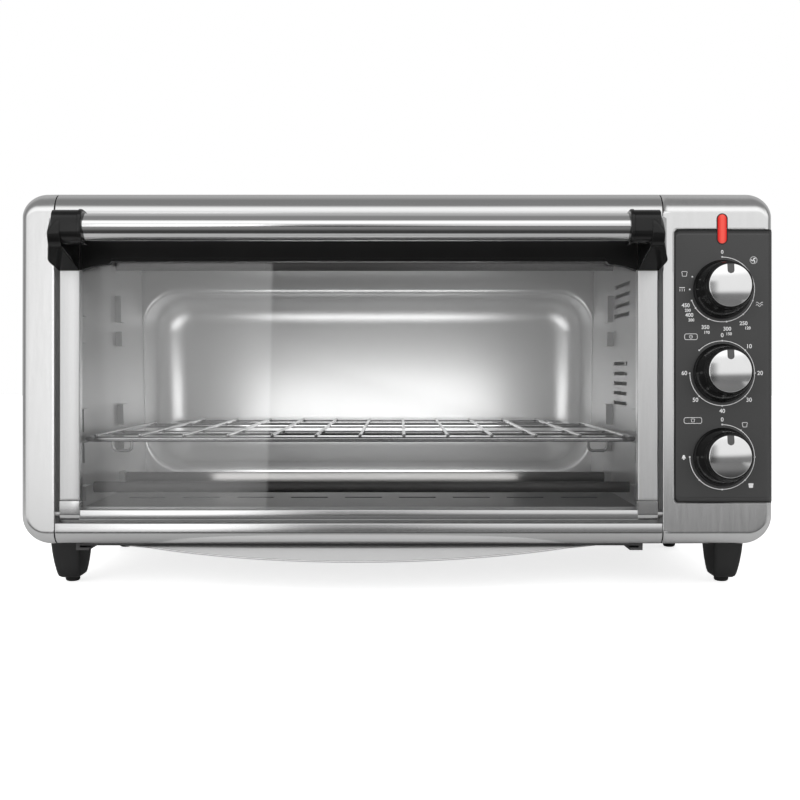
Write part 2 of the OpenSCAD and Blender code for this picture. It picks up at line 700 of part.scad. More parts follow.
// A bracket with the sleeve that holds the tube: side is -1 for the left one and 1 for the right.
module handle_bracket(side) color("black") translate([door_x, 0, 0]) leaned() {
    mirror([side < 0 ? 1 : 0, 0, 0]) difference() {
        edge = door_w / 2;
        union() {
            side_prism(edge - strip_w, edge, bracket_outline());
            bar_x(edge - cup_w, edge - 1, tube_u, tube_s, cup_r);
        }
        bar_x(edge - cup_w - 1, edge - cup_w + cup_depth, tube_u, tube_s, tube_r + 0.05);
        for (s = handle_screw_s) bar_y(edge - strip_w / 2, s, -12, 1, screw_r + 0.05);
    }
}

module handle_left_bracket() handle_bracket(-1);
module handle_right_bracket() handle_bracket(1);

module handle_tube() color("silver") translate([door_x, 0, 0]) leaned() difference() {
    reach = door_w / 2 - cup_w + cup_depth - 1;
    bar_x(-reach, reach, tube_u, tube_s, tube_r);
    bar_x(-reach - 1, reach + 1, tube_u, tube_s, tube_r - 1.2);
}

module handle_screws() color("silver") leaned()
    for (x = [door_x0 + strip_w / 2, door_x1 - strip_w / 2], s = handle_screw_s) {
        bar_y(x, s, door_t, door_t + 2.2, 2.2 * screw_r);
        bar_y(x, s, -10, door_t, screw_r);
    }

// ---------------------------------------------------------------- rack and tray

// Right half of the frame wire's outline from above, moved inward by e from the wire's middle:
// wide in front, narrower where it enters the bulge.
function half_frame(e) = let (
    c = 10 - 0.59 * e, x = rack_half - e, xn = narrow_half - e, y1 = rack_y0 + rack_d - e
) [
    [x - c, rack_y0 + e], [x, rack_y0 + e + c], [x, rack_step_y - e - c], [x - c, rack_step_y - e],
    [xn, rack_step_y - e + 4], [xn - 4, y1 - 20], [xn - 24, y1]];

// The whole outline: the right half and its mirror image.
function frame_outline(e) = let (half = half_frame(e))
    concat(half, [for (i = [len(half) - 1:-1:0]) [-half[i][0], half[i][1]]]);

// Oven rack: a bent frame wire, two bars across it, the cross wires on top and two draw hooks.
module wire_rack() color("silver") translate([door_x, 0, 0]) {
    z0 = rack_z - frame_wire_r;
    z1 = rack_z + frame_wire_r;
    difference() {
        plan_prism(z0, z1, frame_outline(-frame_wire_r));
        plan_prism(z0 - 1, z1 + 1, frame_outline(frame_wire_r));
    }
    for (y = rack_bar_ys) {
        reach = (y < rack_step_y ? rack_half : narrow_half) - frame_wire_r / 2;
        block([-reach, y - frame_wire_r, z0], [reach, y + frame_wire_r, z1]);
    }
    for (i = [0:cross_wires - 1]) {
        x = (i - (cross_wires - 1) / 2) * wire_pitch;
        back = abs(x) < narrow_half - 24 ? rack_y0 + rack_d : rack_step_y - 2;
        bar_y(x, z1 + cross_wire_r - weld_sink, rack_y0, back, cross_wire_r);
    }
    wire = 2 * hook_r;
    for (side = [-1, 1]) translate([side * (rack_half - 28), rack_y0 - hook_r, rack_z - hook_drop - wire]) {
        translate([-8, 0, 0]) cube([16, wire, wire]);
        for (dx = [-8, 8 - wire]) translate([dx, 0, 0]) cube([wire, wire, hook_drop + wire]);
    }
}

// Flat pan whose front lip slopes down and is cut to a long bow.
module crumb_tray() color("lightgray") {
    bow_r = (tray_half * tray_half + lip_bow * lip_bow) / (2 * lip_bow);
    drop_z = tray_z - lip_drop;
    intersection() {
        side_prism(door_x - tray_half, door_x + tray_half, [
            [tray_back, tray_z], [lip_fold_y, tray_z], [lip_front_y - 1, drop_z],
            [lip_front_y - 1, drop_z + tray_t], [lip_fold_y, tray_z + tray_t], [tray_back, tray_z + tray_t]]);
        translate([door_x, lip_front_y + bow_r, 0]) cylinder(r = bow_r, h = foot_h, $fn = 256);
    }
}

// ---------------------------------------------------------------- every piece in its place

placed() top_cover();
placed() left_side_panel();
placed() right_side_panel();
placed() rear_cover();
placed() rear_spacers();
placed() base_plate();
placed() left_bezel();
placed() right_bezel();
placed() top_trim();
placed() bottom_trim();
placed() face_frame();
placed() cavity_left_wall();
placed() cavity_right_wall();
placed() cavity_roof();
placed() cavity_floor();
placed() cavity_back();
placed() upper_heaters();
placed() lower_heaters();
placed() heater_insulators();
placed() heat_shield();
placed() control_panel();
placed() control_bracket();
placed() indicator_lens();
placed() indicator_lamp();
placed() thermostat();
placed() oven_timer();
placed() toast_timer();
placed() timer_bell();
placed() fan_motor();
placed() fan_shaft();
placed() fan_wheel();
placed() terminal_block();
placed() cord_gland();
placed() tray_rails();
placed() feet();
placed() foot_pads();
placed() hinge_brackets();
placed() case_screws();
placed() door_glass();
placed() door_left_strip();
placed() door_right_strip();
placed() door_top_rail();
placed() door_bottom_rail();
placed() handle_tube();
placed() handle_left_bracket();
placed() handle_right_bracket();
placed() handle_screws();
placed() hinge_pins();
placed() door_bumpers();
placed() wire_rack();
placed() crumb_tray();
placed() temperature_knob();
placed() temperature_cap();
placed() temperature_shaft();
placed() timer_knob();
placed() timer_cap();
placed() timer_shaft();
placed() toast_knob();
placed() toast_cap();
placed() toast_shaft();
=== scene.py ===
# %% [markdown]
# A wide countertop oven with a drop-down glass door. The engineering model already fixes every
# size and every hinge, so this lesson only dresses it: each cell makes one visible piece or one
# finish, in metres, in the place where the model says it is.

# %% Load the fixed model
import json
import math

import bmesh
import bpy
import numpy as np
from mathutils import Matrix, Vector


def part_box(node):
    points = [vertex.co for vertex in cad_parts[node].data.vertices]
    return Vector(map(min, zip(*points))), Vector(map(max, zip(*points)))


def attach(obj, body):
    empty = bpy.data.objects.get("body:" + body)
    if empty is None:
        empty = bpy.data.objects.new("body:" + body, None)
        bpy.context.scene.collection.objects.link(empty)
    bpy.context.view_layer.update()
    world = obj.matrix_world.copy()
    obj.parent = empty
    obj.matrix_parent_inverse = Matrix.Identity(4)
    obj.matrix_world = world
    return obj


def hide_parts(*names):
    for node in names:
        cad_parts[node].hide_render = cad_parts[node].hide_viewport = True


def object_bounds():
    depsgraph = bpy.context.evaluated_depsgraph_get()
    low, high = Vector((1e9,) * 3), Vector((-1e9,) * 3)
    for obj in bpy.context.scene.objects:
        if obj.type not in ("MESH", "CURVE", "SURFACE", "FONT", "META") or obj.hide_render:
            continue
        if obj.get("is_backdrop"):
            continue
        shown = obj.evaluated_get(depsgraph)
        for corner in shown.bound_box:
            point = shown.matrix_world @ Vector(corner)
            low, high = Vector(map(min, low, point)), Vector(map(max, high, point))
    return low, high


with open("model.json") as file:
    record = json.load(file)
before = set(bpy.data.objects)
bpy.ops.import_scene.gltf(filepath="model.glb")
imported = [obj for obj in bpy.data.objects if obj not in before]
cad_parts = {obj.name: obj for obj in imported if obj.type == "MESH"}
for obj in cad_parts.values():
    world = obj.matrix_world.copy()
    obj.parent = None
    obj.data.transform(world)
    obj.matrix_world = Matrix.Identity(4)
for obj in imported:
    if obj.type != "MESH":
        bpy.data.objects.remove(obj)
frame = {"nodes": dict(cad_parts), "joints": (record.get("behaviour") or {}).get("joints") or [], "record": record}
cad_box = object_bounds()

MM = 0.001
joints = {j["name"]: j for j in frame["joints"]}

# %% [markdown]
# The whole front of the oven leans back a few degrees, so front pieces are easiest to describe
# by x, by the depth u behind the leaning plane, and by the height s up that plane. The knobs
# turn about the plane's normal, so the first knob's joint gives both the lean and the plane.
# The visible skin lies a third of a millimetre inside the case's width, which leaves room for
# the panel that is folded over it.

# %% Coordinates on the leaning front
knob_joint = joints["temperature_turn"]
LEAN_COS, LEAN_SIN = knob_joint["axis"][1], -knob_joint["axis"][2]
LEAN_TAN = LEAN_SIN / LEAN_COS
FRONT_Y = knob_joint["pos_m"][1] - knob_joint["pos_m"][2] * LEAN_TAN


def leaned(x, u, s):
    """Point in the row frame: y = front + u cos + s sin, z = s cos - u sin."""
    x, u, s = np.broadcast_arrays(*(np.asarray(a, float) for a in (x, u, s)))
    return np.stack([x, FRONT_Y + u * LEAN_COS + s * LEAN_SIN, s * LEAN_COS - u * LEAN_SIN], -1)


def leaned_box(node):
    """Lowest and highest (x, u, s) of a model node, measured on the leaning front."""
    co = np.zeros(len(frame["nodes"][node].data.vertices) * 3)
    frame["nodes"][node].data.vertices.foreach_get("co", co)
    x, y, z = co.reshape(-1, 3).T
    u = (y - FRONT_Y) * LEAN_COS - z * LEAN_SIN
    s = (y - FRONT_Y) * LEAN_SIN + z * LEAN_COS
    xus = np.stack([x, u, s], -1)
    return xus.min(0), xus.max(0)


def leaned_middle(node):
    """Middle (x, u, s) and half sizes of a model node on the leaning front."""
    low, high = leaned_box(node)
    return (low + high) / 2, (high - low) / 2


left_strip, right_strip = leaned_box("door_left_strip"), leaned_box("door_right_strip")
DOOR_X0, DOOR_X1 = left_strip[0][0], right_strip[1][0]
DOOR_X = (DOOR_X0 + DOOR_X1) / 2
STRIP_W = left_strip[1][0] - left_strip[0][0]
DOOR_TOP = left_strip[1][2]
HALF_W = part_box("right_side_panel")[1][0]
SKIN_INSET = 0.35 * MM
SKIN_W = HALF_W - SKIN_INSET
CASE_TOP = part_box("top_cover")[1][2]
CASE_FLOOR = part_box("left_bezel")[0][2]
BEZEL_X0, BEZEL_X1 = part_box("left_bezel")[1][0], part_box("right_bezel")[0][0]
print(f"lean {math.degrees(math.asin(LEAN_SIN)):.1f} deg, front plane at y {FRONT_Y:.4f}, "
      f"door {DOOR_X0:.4f} to {DOOR_X1:.4f}")

# %% [markdown]
# Nearly every piece here is a grid: rows along one parameter, columns along the other. These
# few helpers turn such arrays into meshes. A loft joins rings row by row, a rod carries a
# circle along a bent path, and put_piece merges the shells, points the faces outwards, gives
# the piece its finish and hangs it on its body.

# %% Mesh helpers
def angles(start, end, count):
    """Evenly spaced angles, given in degrees and returned in radians."""
    return np.linspace(start, end, count) * np.pi / 180


def grid_faces(rows, cols, wrap=False):
    """Four-cornered faces between neighbouring points of a rows x cols grid."""
    r = np.arange(rows - 1)[:, None]
    c = np.arange(cols if wrap else cols - 1)[None, :]
    after = (c + 1) % cols
    corners = [r * cols + c, r * cols + after, (r + 1) * cols + after, (r + 1) * cols + c]
    return np.stack(corners, -1).reshape(-1, 4)


def loft(rings, wrap=True, caps=True):
    """Skin through rings shaped (rows, columns, 3); caps close the first and last ring."""
    rows, cols = rings.shape[:2]
    faces = grid_faces(rows, cols, wrap).tolist()
    if caps:
        faces += [list(range(cols))[::-1], list(range((rows - 1) * cols, rows * cols))]
    return rings.reshape(-1, 3), faces


def round_corners(points, radius, steps=5, closed=True):
    """Polygon or polyline whose corners are replaced by curves that start `radius` before them."""
    p = np.asarray(points, float)
    r = np.broadcast_to(np.asarray(radius, float), len(p))[:, None]
    back, ahead = np.roll(p, 1, 0) - p, np.roll(p, -1, 0) - p
    lb, la = (np.linalg.norm(v, axis=1, keepdims=True) for v in (back, ahead))
    cut = np.minimum(r, 0.49 * np.minimum(lb, la))
    a, b = p + back / lb * cut, p + ahead / la * cut
    t = np.linspace(0, 1, steps)[None, :, None]
    arc = (1 - t) ** 2 * a[:, None] + 2 * t * (1 - t) * p[:, None] + t ** 2 * b[:, None]
    if closed:
        return arc.reshape(-1, p.shape[1])
    return np.concatenate([p[:1], arc[1:-1].reshape(-1, p.shape[1]), p[-1:]])


def rod(path, radius, sides=12, up=(0, 0, 1), closed=False):
    """Round wire: a circle carried along the path, square to it; `up` is never along the path."""
    path = np.asarray(path, float)
    t = np.roll(path, -1, 0) - np.roll(path, 1, 0) if closed else np.gradient(path, axis=0)
    t /= np.linalg.norm(t, axis=1, keepdims=True)
    side = np.cross(t, up)
    side /= np.linalg.norm(side, axis=1, keepdims=True)
    top = np.cross(side, t)
    a = np.linspace(0, 2 * np.pi, sides, endpoint=False)[None, :, None]
    r = np.broadcast_to(radius, len(path))[:, None, None]
    rings = path[:, None] + r * (np.cos(a) * side[:, None] + np.sin(a) * top[:, None])
    if closed:
        rings = np.concatenate([rings, rings[:1]])
    return loft(rings, caps=not closed)


def rounded_rings(half_w, half_h, corner, steps=8):
    """Rounded rectangles: one ring of points for each half width, half height and corner radius."""
    sizes = np.broadcast_arrays(half_w, half_h, corner)
    hw, hh, r = (np.asarray(size, float)[:, None, None] for size in sizes)
    a = np.radians(np.arange(4)[:, None] * 90) + angles(0, 90, steps)[None, :]
    sx = np.array([1, -1, -1, 1])[:, None]
    sy = np.array([1, 1, -1, -1])[:, None]
    x = sx * (hw - r) + r * np.cos(a)
    y = sy * (hh - r) + r * np.sin(a)
    return x.reshape(len(hw), -1), y.reshape(len(hw), -1)


def turned(profile, segments=96):
    """Surface of revolution of (radius, height) pairs, returned as flat x, y and height grids."""
    r, h = np.asarray(profile, float).T[:, :, None]
    a = np.linspace(0, 2 * np.pi, segments, endpoint=False)[None, :]
    return r * np.cos(a), r * np.sin(a), h + 0 * a


def put_piece(name, shells, body, material, replaced=(), facing=None, wall=0.0, crease=32, bevel=0.0):
    """Merges shells into one mesh, turns its faces outwards, finishes it and rides it on a body.

    `facing` is a direction an open sheet looks in, `wall` its thickness and `crease` the angle
    in degrees beyond which an edge is drawn sharp.
    """
    points = np.concatenate([np.asarray(p, float).reshape(-1, 3) for p, _ in shells])
    faces, base = [], 0
    for p, f in shells:
        faces += [[i + base for i in face] for face in f]
        base += len(np.asarray(p).reshape(-1, 3))
    mesh = bpy.data.meshes.new(name)
    mesh.from_pydata(points.tolist(), [], faces)
    bm = bmesh.new()
    bm.from_mesh(mesh)
    bmesh.ops.remove_doubles(bm, verts=bm.verts, dist=2e-6)
    bmesh.ops.dissolve_degenerate(bm, edges=bm.edges, dist=1e-7)
    bmesh.ops.recalc_face_normals(bm, faces=bm.faces)
    if facing is not None:
        total = sum((f.normal.dot(facing) * f.calc_area() for f in bm.faces), 0.0)
        if total < 0:
            bmesh.ops.reverse_faces(bm, faces=bm.faces)
    bm.to_mesh(mesh)
    bm.free()
    mesh.shade_smooth()
    mesh.set_sharp_from_angle(angle=math.radians(crease))
    piece = bpy.data.objects.new(name, mesh)
    bpy.context.scene.collection.objects.link(piece)
    mesh.materials.append(material)
    if wall:
        sheet = piece.modifiers.new("sheet thickness", "SOLIDIFY")
        sheet.thickness, sheet.offset = wall, -1
    if bevel:
        edge = piece.modifiers.new("eased edges", "BEVEL")
        edge.width, edge.segments, edge.harden_normals = bevel, 3, True
        edge.limit_method, edge.angle_limit = "ANGLE", math.radians(40)
    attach(piece, body)
    if replaced:
        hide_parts(*replaced)
    print(f"{name}: {len(mesh.polygons)} faces on {body}")
    return piece


# %% [markdown]
# Finishes share a few effects, so each effect is a node group with its own inputs: brushed
# grain for rolled steel, moulded skin for plastic and paint, and worn edges. A group only puts
# out values; the shader itself stays in each material.

# %% Node helpers
def add(tree, kind, inputs=None, **settings):
    """Adds a shader node, sets its properties and fills or links its inputs."""
    node = tree.nodes.new("ShaderNode" + kind)
    for key, value in settings.items():
        setattr(node, key, value)
    for key, value in (inputs or {}).items():
        if isinstance(value, bpy.types.NodeSocket):
            tree.links.new(value, node.inputs[key])
        else:
            node.inputs[key].default_value = value
    return node


def arithmetic(tree, operation, a, b=0.0, clamp=False):
    """One Math node and its result."""
    return add(tree, "Math", {0: a, 1: b}, operation=operation, use_clamp=clamp).outputs[0]


def plus(tree, a, b, clamp=False):
    """Sum of two values."""
    return arithmetic(tree, "ADD", a, b, clamp)


def minus(tree, a, b):
    """Difference of two values."""
    return arithmetic(tree, "SUBTRACT", a, b)


def times(tree, first, *factors, clamp=False):
    """Product of two or more values."""
    for factor in factors:
        first = arithmetic(tree, "MULTIPLY", first, factor, clamp)
    return first


def noise(tree, place, scale, detail=2.0, roughness=0.5):
    """Noise pattern between nought and one."""
    settings = {"Vector": place, "Scale": scale, "Detail": detail, "Roughness": roughness}
    return add(tree, "TexNoise", settings).outputs["Fac"]


def ramp(tree, value, low, high, out_low=0.0, out_high=1.0):
    """Smooth step of a value between two limits."""
    limits = {"Value": value, "From Min": low, "From Max": high, "To Min": out_low, "To Max": out_high}
    return add(tree, "MapRange", limits, interpolation_type="SMOOTHSTEP").outputs[0]


def mixed(tree, factor, first, second):
    """Colour between two ends, each a socket or a plain tone, led by a factor."""
    ends = [end if isinstance(end, bpy.types.NodeSocket) else (*end, 1) for end in (first, second)]
    return add(tree, "Mix", {"Factor": factor, 6: ends[0], 7: ends[1]}, data_type="RGBA").outputs[2]


def object_place(tree):
    """The point being shaded, in the piece's own metres."""
    return add(tree, "TexCoord").outputs["Object"]


# %% Shared effect groups
def effect_group(name, ins, outs):
    """An empty node group with named, typed sockets."""
    group = bpy.data.node_groups.new(name, "ShaderNodeTree")
    for label, kind, value in [("Position", "Vector", (0, 0, 0))] + ins:
        kind = "NodeSocket" + kind
        group.interface.new_socket(label, in_out="INPUT", socket_type=kind).default_value = value
    for label in outs:
        group.interface.new_socket(label, in_out="OUTPUT", socket_type="NodeSocketFloat")
    return group, group.nodes.new("NodeGroupInput").outputs, group.nodes.new("NodeGroupOutput").inputs


def surface_group(name, ins):
    """An effect group for a whole surface: it varies a roughness by its spread."""
    ins = ins + [("Roughness", "Float", 0.3), ("Spread", "Float", 0.1)]
    return effect_group(name, ins, ["Roughness", "Height", "Shade"])


def put_out(group, given, results, shade, height):
    """Links a surface group's three results: shade also varies the roughness, height the bump."""
    offset = times(group, minus(group, shade, 0.5), given["Spread"])
    group.links.new(plus(group, given["Roughness"], offset, clamp=True), results["Roughness"])
    group.links.new(height, results["Height"])
    group.links.new(shade, results["Shade"])


brushed_grain, given, results = surface_group("brushed grain", [("Stretch", "Vector", (1, 1, 1))])
stretch = {0: given["Position"], 1: given["Stretch"]}
stretched = add(brushed_grain, "VectorMath", stretch, operation="MULTIPLY").outputs[0]
fine = noise(brushed_grain, stretched, 1.0, 3.0, 0.65)
broad = noise(brushed_grain, stretched, 0.13)
streak = plus(brushed_grain, times(brushed_grain, fine, 0.55), times(brushed_grain, broad, 0.45))
put_out(brushed_grain, given, results, streak, fine)

moulded_skin, given, results = surface_group("moulded skin", [("Grain", "Float", 900.0)])
pores = noise(moulded_skin, given["Position"], given["Grain"])
handled = noise(moulded_skin, given["Position"], 22.0, 4.0, 0.6)
put_out(moulded_skin, given, results, handled, pores)

worn_edges, given, results = effect_group("worn edges", [("Amount", "Float", 0.5)], ["Mask"])
sharpness = add(worn_edges, "NewGeometry").outputs["Pointiness"]
edge = times(worn_edges, minus(worn_edges, sharpness, 0.53), 9.0, clamp=True)
patchy = noise(worn_edges, given["Position"], 120.0, 3.0)
mask = times(worn_edges, times(worn_edges, edge, patchy), given["Amount"], clamp=True)
worn_edges.links.new(mask, results["Mask"])
print("groups", [g.name for g in bpy.data.node_groups])


# %% From an effect to a finish
def grey(v, warm=0.0):
    """A neutral tone, a little warm or cool."""
    return (v * (1 + warm), v, v * (1 - warm))


def use_group(tree, group, **inputs):
    """Puts an effect group into a material, at the piece's own place."""
    node = tree.nodes.new("ShaderNodeGroup")
    node.node_tree = group
    tree.links.new(object_place(tree), node.inputs["Position"])
    for key, value in inputs.items():
        node.inputs[key].default_value = value
    return node.outputs


def new_material(name):
    """A material with its node tree and its shader."""
    material = bpy.data.materials.new(name)
    material.use_nodes = True
    return material, material.node_tree, material.node_tree.nodes["Principled BSDF"]


def finish(name, group, settings, tones, metallic=0.0, bump=0.2, height=2e-5, wear=None, **fixed):
    """A Principled material whose colour, roughness and bump come from an effect group.

    `tones` are its dark and light ends, `height` the depth of its relief in metres, `wear` the
    tone and amount of its rubbed edges, and any further name is a fixed shader input. A tone
    given as one number is a grey.
    """
    material, tree, shader = new_material(name)
    dark, light = (grey(tone) if isinstance(tone, float) else tone for tone in tones)
    effect = use_group(tree, group, **settings)
    colour = mixed(tree, effect["Shade"], dark, light)
    if wear:
        rubbed = use_group(tree, worn_edges, Amount=wear[1])
        colour = mixed(tree, rubbed["Mask"], colour, grey(wear[0]))
    tree.links.new(colour, shader.inputs["Base Color"])
    tree.links.new(effect["Roughness"], shader.inputs["Roughness"])
    relief = add(tree, "Bump", {"Height": effect["Height"], "Strength": bump, "Distance": height})
    tree.links.new(relief.outputs["Normal"], shader.inputs["Normal"])
    shader.inputs["Metallic"].default_value = metallic
    for key, value in fixed.items():
        shader.inputs[key.replace("_", " ")].default_value = value
    return material


def metal(name, stretch, roughness, spread, dark, light, metallic=1.0, **more):
    """Brushed metal; `stretch` is in cycles of noise to the metre along x, y and z."""
    settings = {"Stretch": stretch, "Roughness": roughness, "Spread": spread}
    return finish(name, brushed_grain, settings, (dark, light), metallic, **more)


def moulded(name, grain, roughness, spread, dark, light, **more):
    """Plastic, paint or ceramic; `grain` is in pores to the metre."""
    settings = {"Grain": grain, "Roughness": roughness, "Spread": spread}
    return finish(name, moulded_skin, settings, (dark, light), **more)


# %% [markdown]
# The steels. Fine brushing is a noise pulled out along one axis: thousands of cycles to the
# metre across the brush marks and only a few along them, so the marks run up the bezels and
# strips and along the trims and the tube.

# %% Metal finishes
def even(cycles):
    """The same grain in every direction."""
    return (cycles, cycles, cycles)


UP_GRAIN, STRIP_GRAIN = (2600.0, 2600.0, 9.0), (3800.0, 3800.0, 16.0)
ALONG_GRAIN, TUBE_GRAIN = (7.0, 2600.0, 2600.0), (5.0, 1500.0, 1500.0)
PAN_GRAIN, LIP_GRAIN, HEATER_GRAIN = (9.0, 900.0, 900.0), (9.0, 1800.0, 1800.0), (90.0, 700.0, 700.0)
bezel_steel = metal("bezel steel", UP_GRAIN, 0.19, 0.16, 0.70, 0.84, bump=0.25, wear=(0.9, 0.3))
strip_steel = metal("door strip steel", STRIP_GRAIN, 0.30, 0.12, 0.68, 0.84, bump=0.3, wear=(0.9, 0.3))
trim_steel = metal("trim steel", ALONG_GRAIN, 0.15, 0.06, 0.66, 0.76, bump=0.15, wear=(0.9, 0.2))
tube_chrome = metal("handle tube chrome", TUBE_GRAIN, 0.11, 0.06, 0.76, 0.84, bump=0.05)
cap_chrome = metal("knob face chrome", even(900.0), 0.10, 0.05, 0.80, 0.88, bump=0.04)
# The rack's plating is given a dark grey: painted shade for the dim cavity the wires stand in.
rack_wire_painted_shade = metal("rack wire plating", even(300.0), 0.14, 0.12, 0.30, 0.46, bump=0.08)
cavity_steel = metal("aluminised cavity sheet", even(700.0), 0.36, 0.05, 0.50, 0.56, 0.6, bump=0.02)
# The cavity floor is much darker than the walls: painted shade of the cavity's low part under the rack.
cavity_floor_painted_shade = metal("cavity floor darkened by heat", even(60.0), 0.34, 0.2, 0.13, 0.24, 0.7, bump=0.05)
pan_steel = metal("crumb tray pan", PAN_GRAIN, 0.32, 0.16, 0.46, 0.62, 0.85, bump=0.15)
# The crumb tray lip is painted near white and almost unmetallic: painted light for the bright reflection it
# catches, while the pan of the same sheet keeps darker steel.
lip_painted_bright = metal("crumb tray lip", LIP_GRAIN, 0.34, 0.1, 0.94, 0.98, 0.1, bump=0.1)
plain_steel = metal("zinc plated steel", even(420.0), 0.38, 0.2, grey(0.50, 0.01), 0.68, bump=0.15,
                    wear=(0.85, 0.4))
heater_sheath = metal("heater sheath", HEATER_GRAIN, 0.58, 0.2, grey(0.07, 0.02), grey(0.16, 0.02), 0.6)

# %% [markdown]
# Painted and moulded parts. Phenolic handle parts are black and glossy with a faint orange
# peel, the feet have a duller spark-eroded skin, and the control panel is satin charcoal paint.

# %% Painted, moulded and ceramic finishes
COARSE, PAINTED = 6e-5, 5e-5
gloss_black = moulded("knob black", 500.0, 0.16, 0.12, 0.004, 0.012, bump=0.06, wear=(0.12, 0.25),
                      Coat_Weight=0.12, Coat_Roughness=0.08, Specular_IOR_Level=0.2)
bracket_black = moulded("bracket black", 700.0, 0.2, 0.1, 0.004, 0.010, bump=0.06, wear=(0.10, 0.25),
                        Coat_Weight=0.3, Coat_Roughness=0.1, Specular_IOR_Level=0.2)
rail_black = moulded("top rail black", 900.0, 0.34, 0.1, 0.006, 0.012, bump=0.1, Specular_IOR_Level=0.15)
foot_black = moulded("foot black", 1400.0, 0.5, 0.15, 0.008, 0.016, bump=0.45, height=COARSE,
                     wear=(0.09, 0.4))
rubber_black = moulded("rubber", 1100.0, 0.75, 0.1, 0.008, 0.018, bump=0.5, height=COARSE)
panel_paint = moulded("panel charcoal paint", 1800.0, 0.42, 0.08, 0.026, 0.032, Specular_IOR_Level=0.9)
side_paint = moulded("silver powder coat", 1500.0, 0.40, 0.12, 0.40, 0.47, metallic=0.35, bump=0.35,
                     height=PAINTED, wear=(0.75, 0.25))
dark_paint = moulded("dark powder coat", 1300.0, 0.5, 0.15, 0.035, 0.055, bump=0.4, height=PAINTED,
                     wear=(0.2, 0.3))
mark_white = moulded("printed marks", 2200.0, 0.5, 0.05, 0.90, 0.96, bump=0.1)
pointer_grey = moulded("pointer inlay", 1500.0, 0.4, 0.1, 0.07, 0.11)
# Black for the lens's real gasket, and as painted shadow in the gap round the control panel.
gasket_and_shadow_black = moulded("panel edge shadow line", 900.0, 0.3, 0.1, 0.004, 0.008, bump=0.1)
switch_plastic = moulded("pale phenolic", 1200.0, 0.5, 0.15, (0.62, 0.60, 0.54), (0.70, 0.68, 0.62), bump=0.3)
ceramic = moulded("steatite", 900.0, 0.65, 0.2, (0.70, 0.68, 0.63), (0.82, 0.80, 0.76), bump=0.4)

# %% [markdown]
# The door glass keeps plain transmission. The lit lens is clear red plastic over a lamp: its
# emission is brightest on the lens's middle line and fades to a deeper red towards both sides.

# %% Glass and the lit lens
glass, tree, shader = new_material("door glass")
wiped = noise(tree, object_place(tree), 9.0, 4.0, 0.6)
tree.links.new(mixed(tree, wiped, (0.972, 0.977, 0.976), (0.988, 0.99, 0.99)), shader.inputs["Base Color"])
for socket, value in (("Transmission Weight", 1.0), ("Roughness", 0.0), ("IOR", 1.45)):
    shader.inputs[socket].default_value = value
lens_red = moulded("lit red lens", 400.0, 0.25, 0.1, (0.30, 0.005, 0.004), (0.40, 0.01, 0.008), bump=0.1,
                   Coat_Weight=0.1, Coat_Roughness=0.1, Specular_IOR_Level=0.2, Emission_Strength=0.62)
tree = lens_red.node_tree
lens_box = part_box("indicator_lens")
lens_line = (lens_box[0][0] + lens_box[1][0]) / 2
from_line = minus(tree, add(tree, "SeparateXYZ", {0: object_place(tree)}).outputs[0], lens_line)
fade = ramp(tree, arithmetic(tree, "ABSOLUTE", from_line), 0.4 * MM, 3.4 * MM)
glow = mixed(tree, fade, (1.0, 0.16, 0.12), (0.62, 0.005, 0.004))
tree.links.new(glow, tree.nodes["Principled BSDF"].inputs["Emission Color"])
lamp_glow = moulded("neon lamp", 100.0, 0.2, 0.05, (0.9, 0.3, 0.15), (1.0, 0.4, 0.2), bump=0.0,
                    Emission_Strength=2.0, Emission_Color=(1.0, 0.25, 0.1, 1))

# %% Finishes for the model's own nodes, by the record's slots
SLOT_FINISH = {
    "brushed_steel": bezel_steel, "satin_trim": trim_steel, "silver_paint": side_paint,
    "dark_paint": dark_paint, "cavity_steel": cavity_steel, "plain_steel": plain_steel,
    "heater_sheath": heater_sheath, "ceramic": ceramic, "panel_paint": panel_paint, "red_lens": lens_red,
    "lamp": lamp_glow, "black_plastic": gloss_black, "matte_black": foot_black,
    "pale_plastic": switch_plastic, "rubber": rubber_black, "chrome": rack_wire_painted_shade, "door_glass": glass}
for part in frame["record"]["subparts"]:
    node = frame["nodes"][part["node"]]
    node.data.materials.clear()
    node.data.materials.append(SLOT_FINISH[part["material_slot"]])
# The cavity floor takes the darker steel, painted shade under the rack.
frame["nodes"]["cavity_floor"].data.materials[0] = cavity_floor_painted_shade

# %% [markdown]
# The bezels are pressed shells that wrap the case's corners. Seen from the front, the case's
# outline and the flat face's outline are both rounded rectangles, and a quarter circle joins
# each point of one to its partner on the other. The roll is therefore large on top, smaller
# below and smallest at the side, with no crease where the three meet.

# %% The skin of the case front
TOP_ROLL, BOTTOM_ROLL, SIDE_ROLL = 15 * MM, 10 * MM, 6 * MM
TOP_CORNER, BOTTOM_CORNER = 17 * MM, 21 * MM
FACE_TOP_CORNER, FACE_BOTTOM_CORNER = 6 * MM, 12 * MM
SHEET, EDGE_R = 0.9 * MM, 0.5 * MM
RETURN_DEPTH = 13 * MM
SHELL_DEPTH = leaned_box("top_trim")[1][1]
SOFT_CREASE = 50


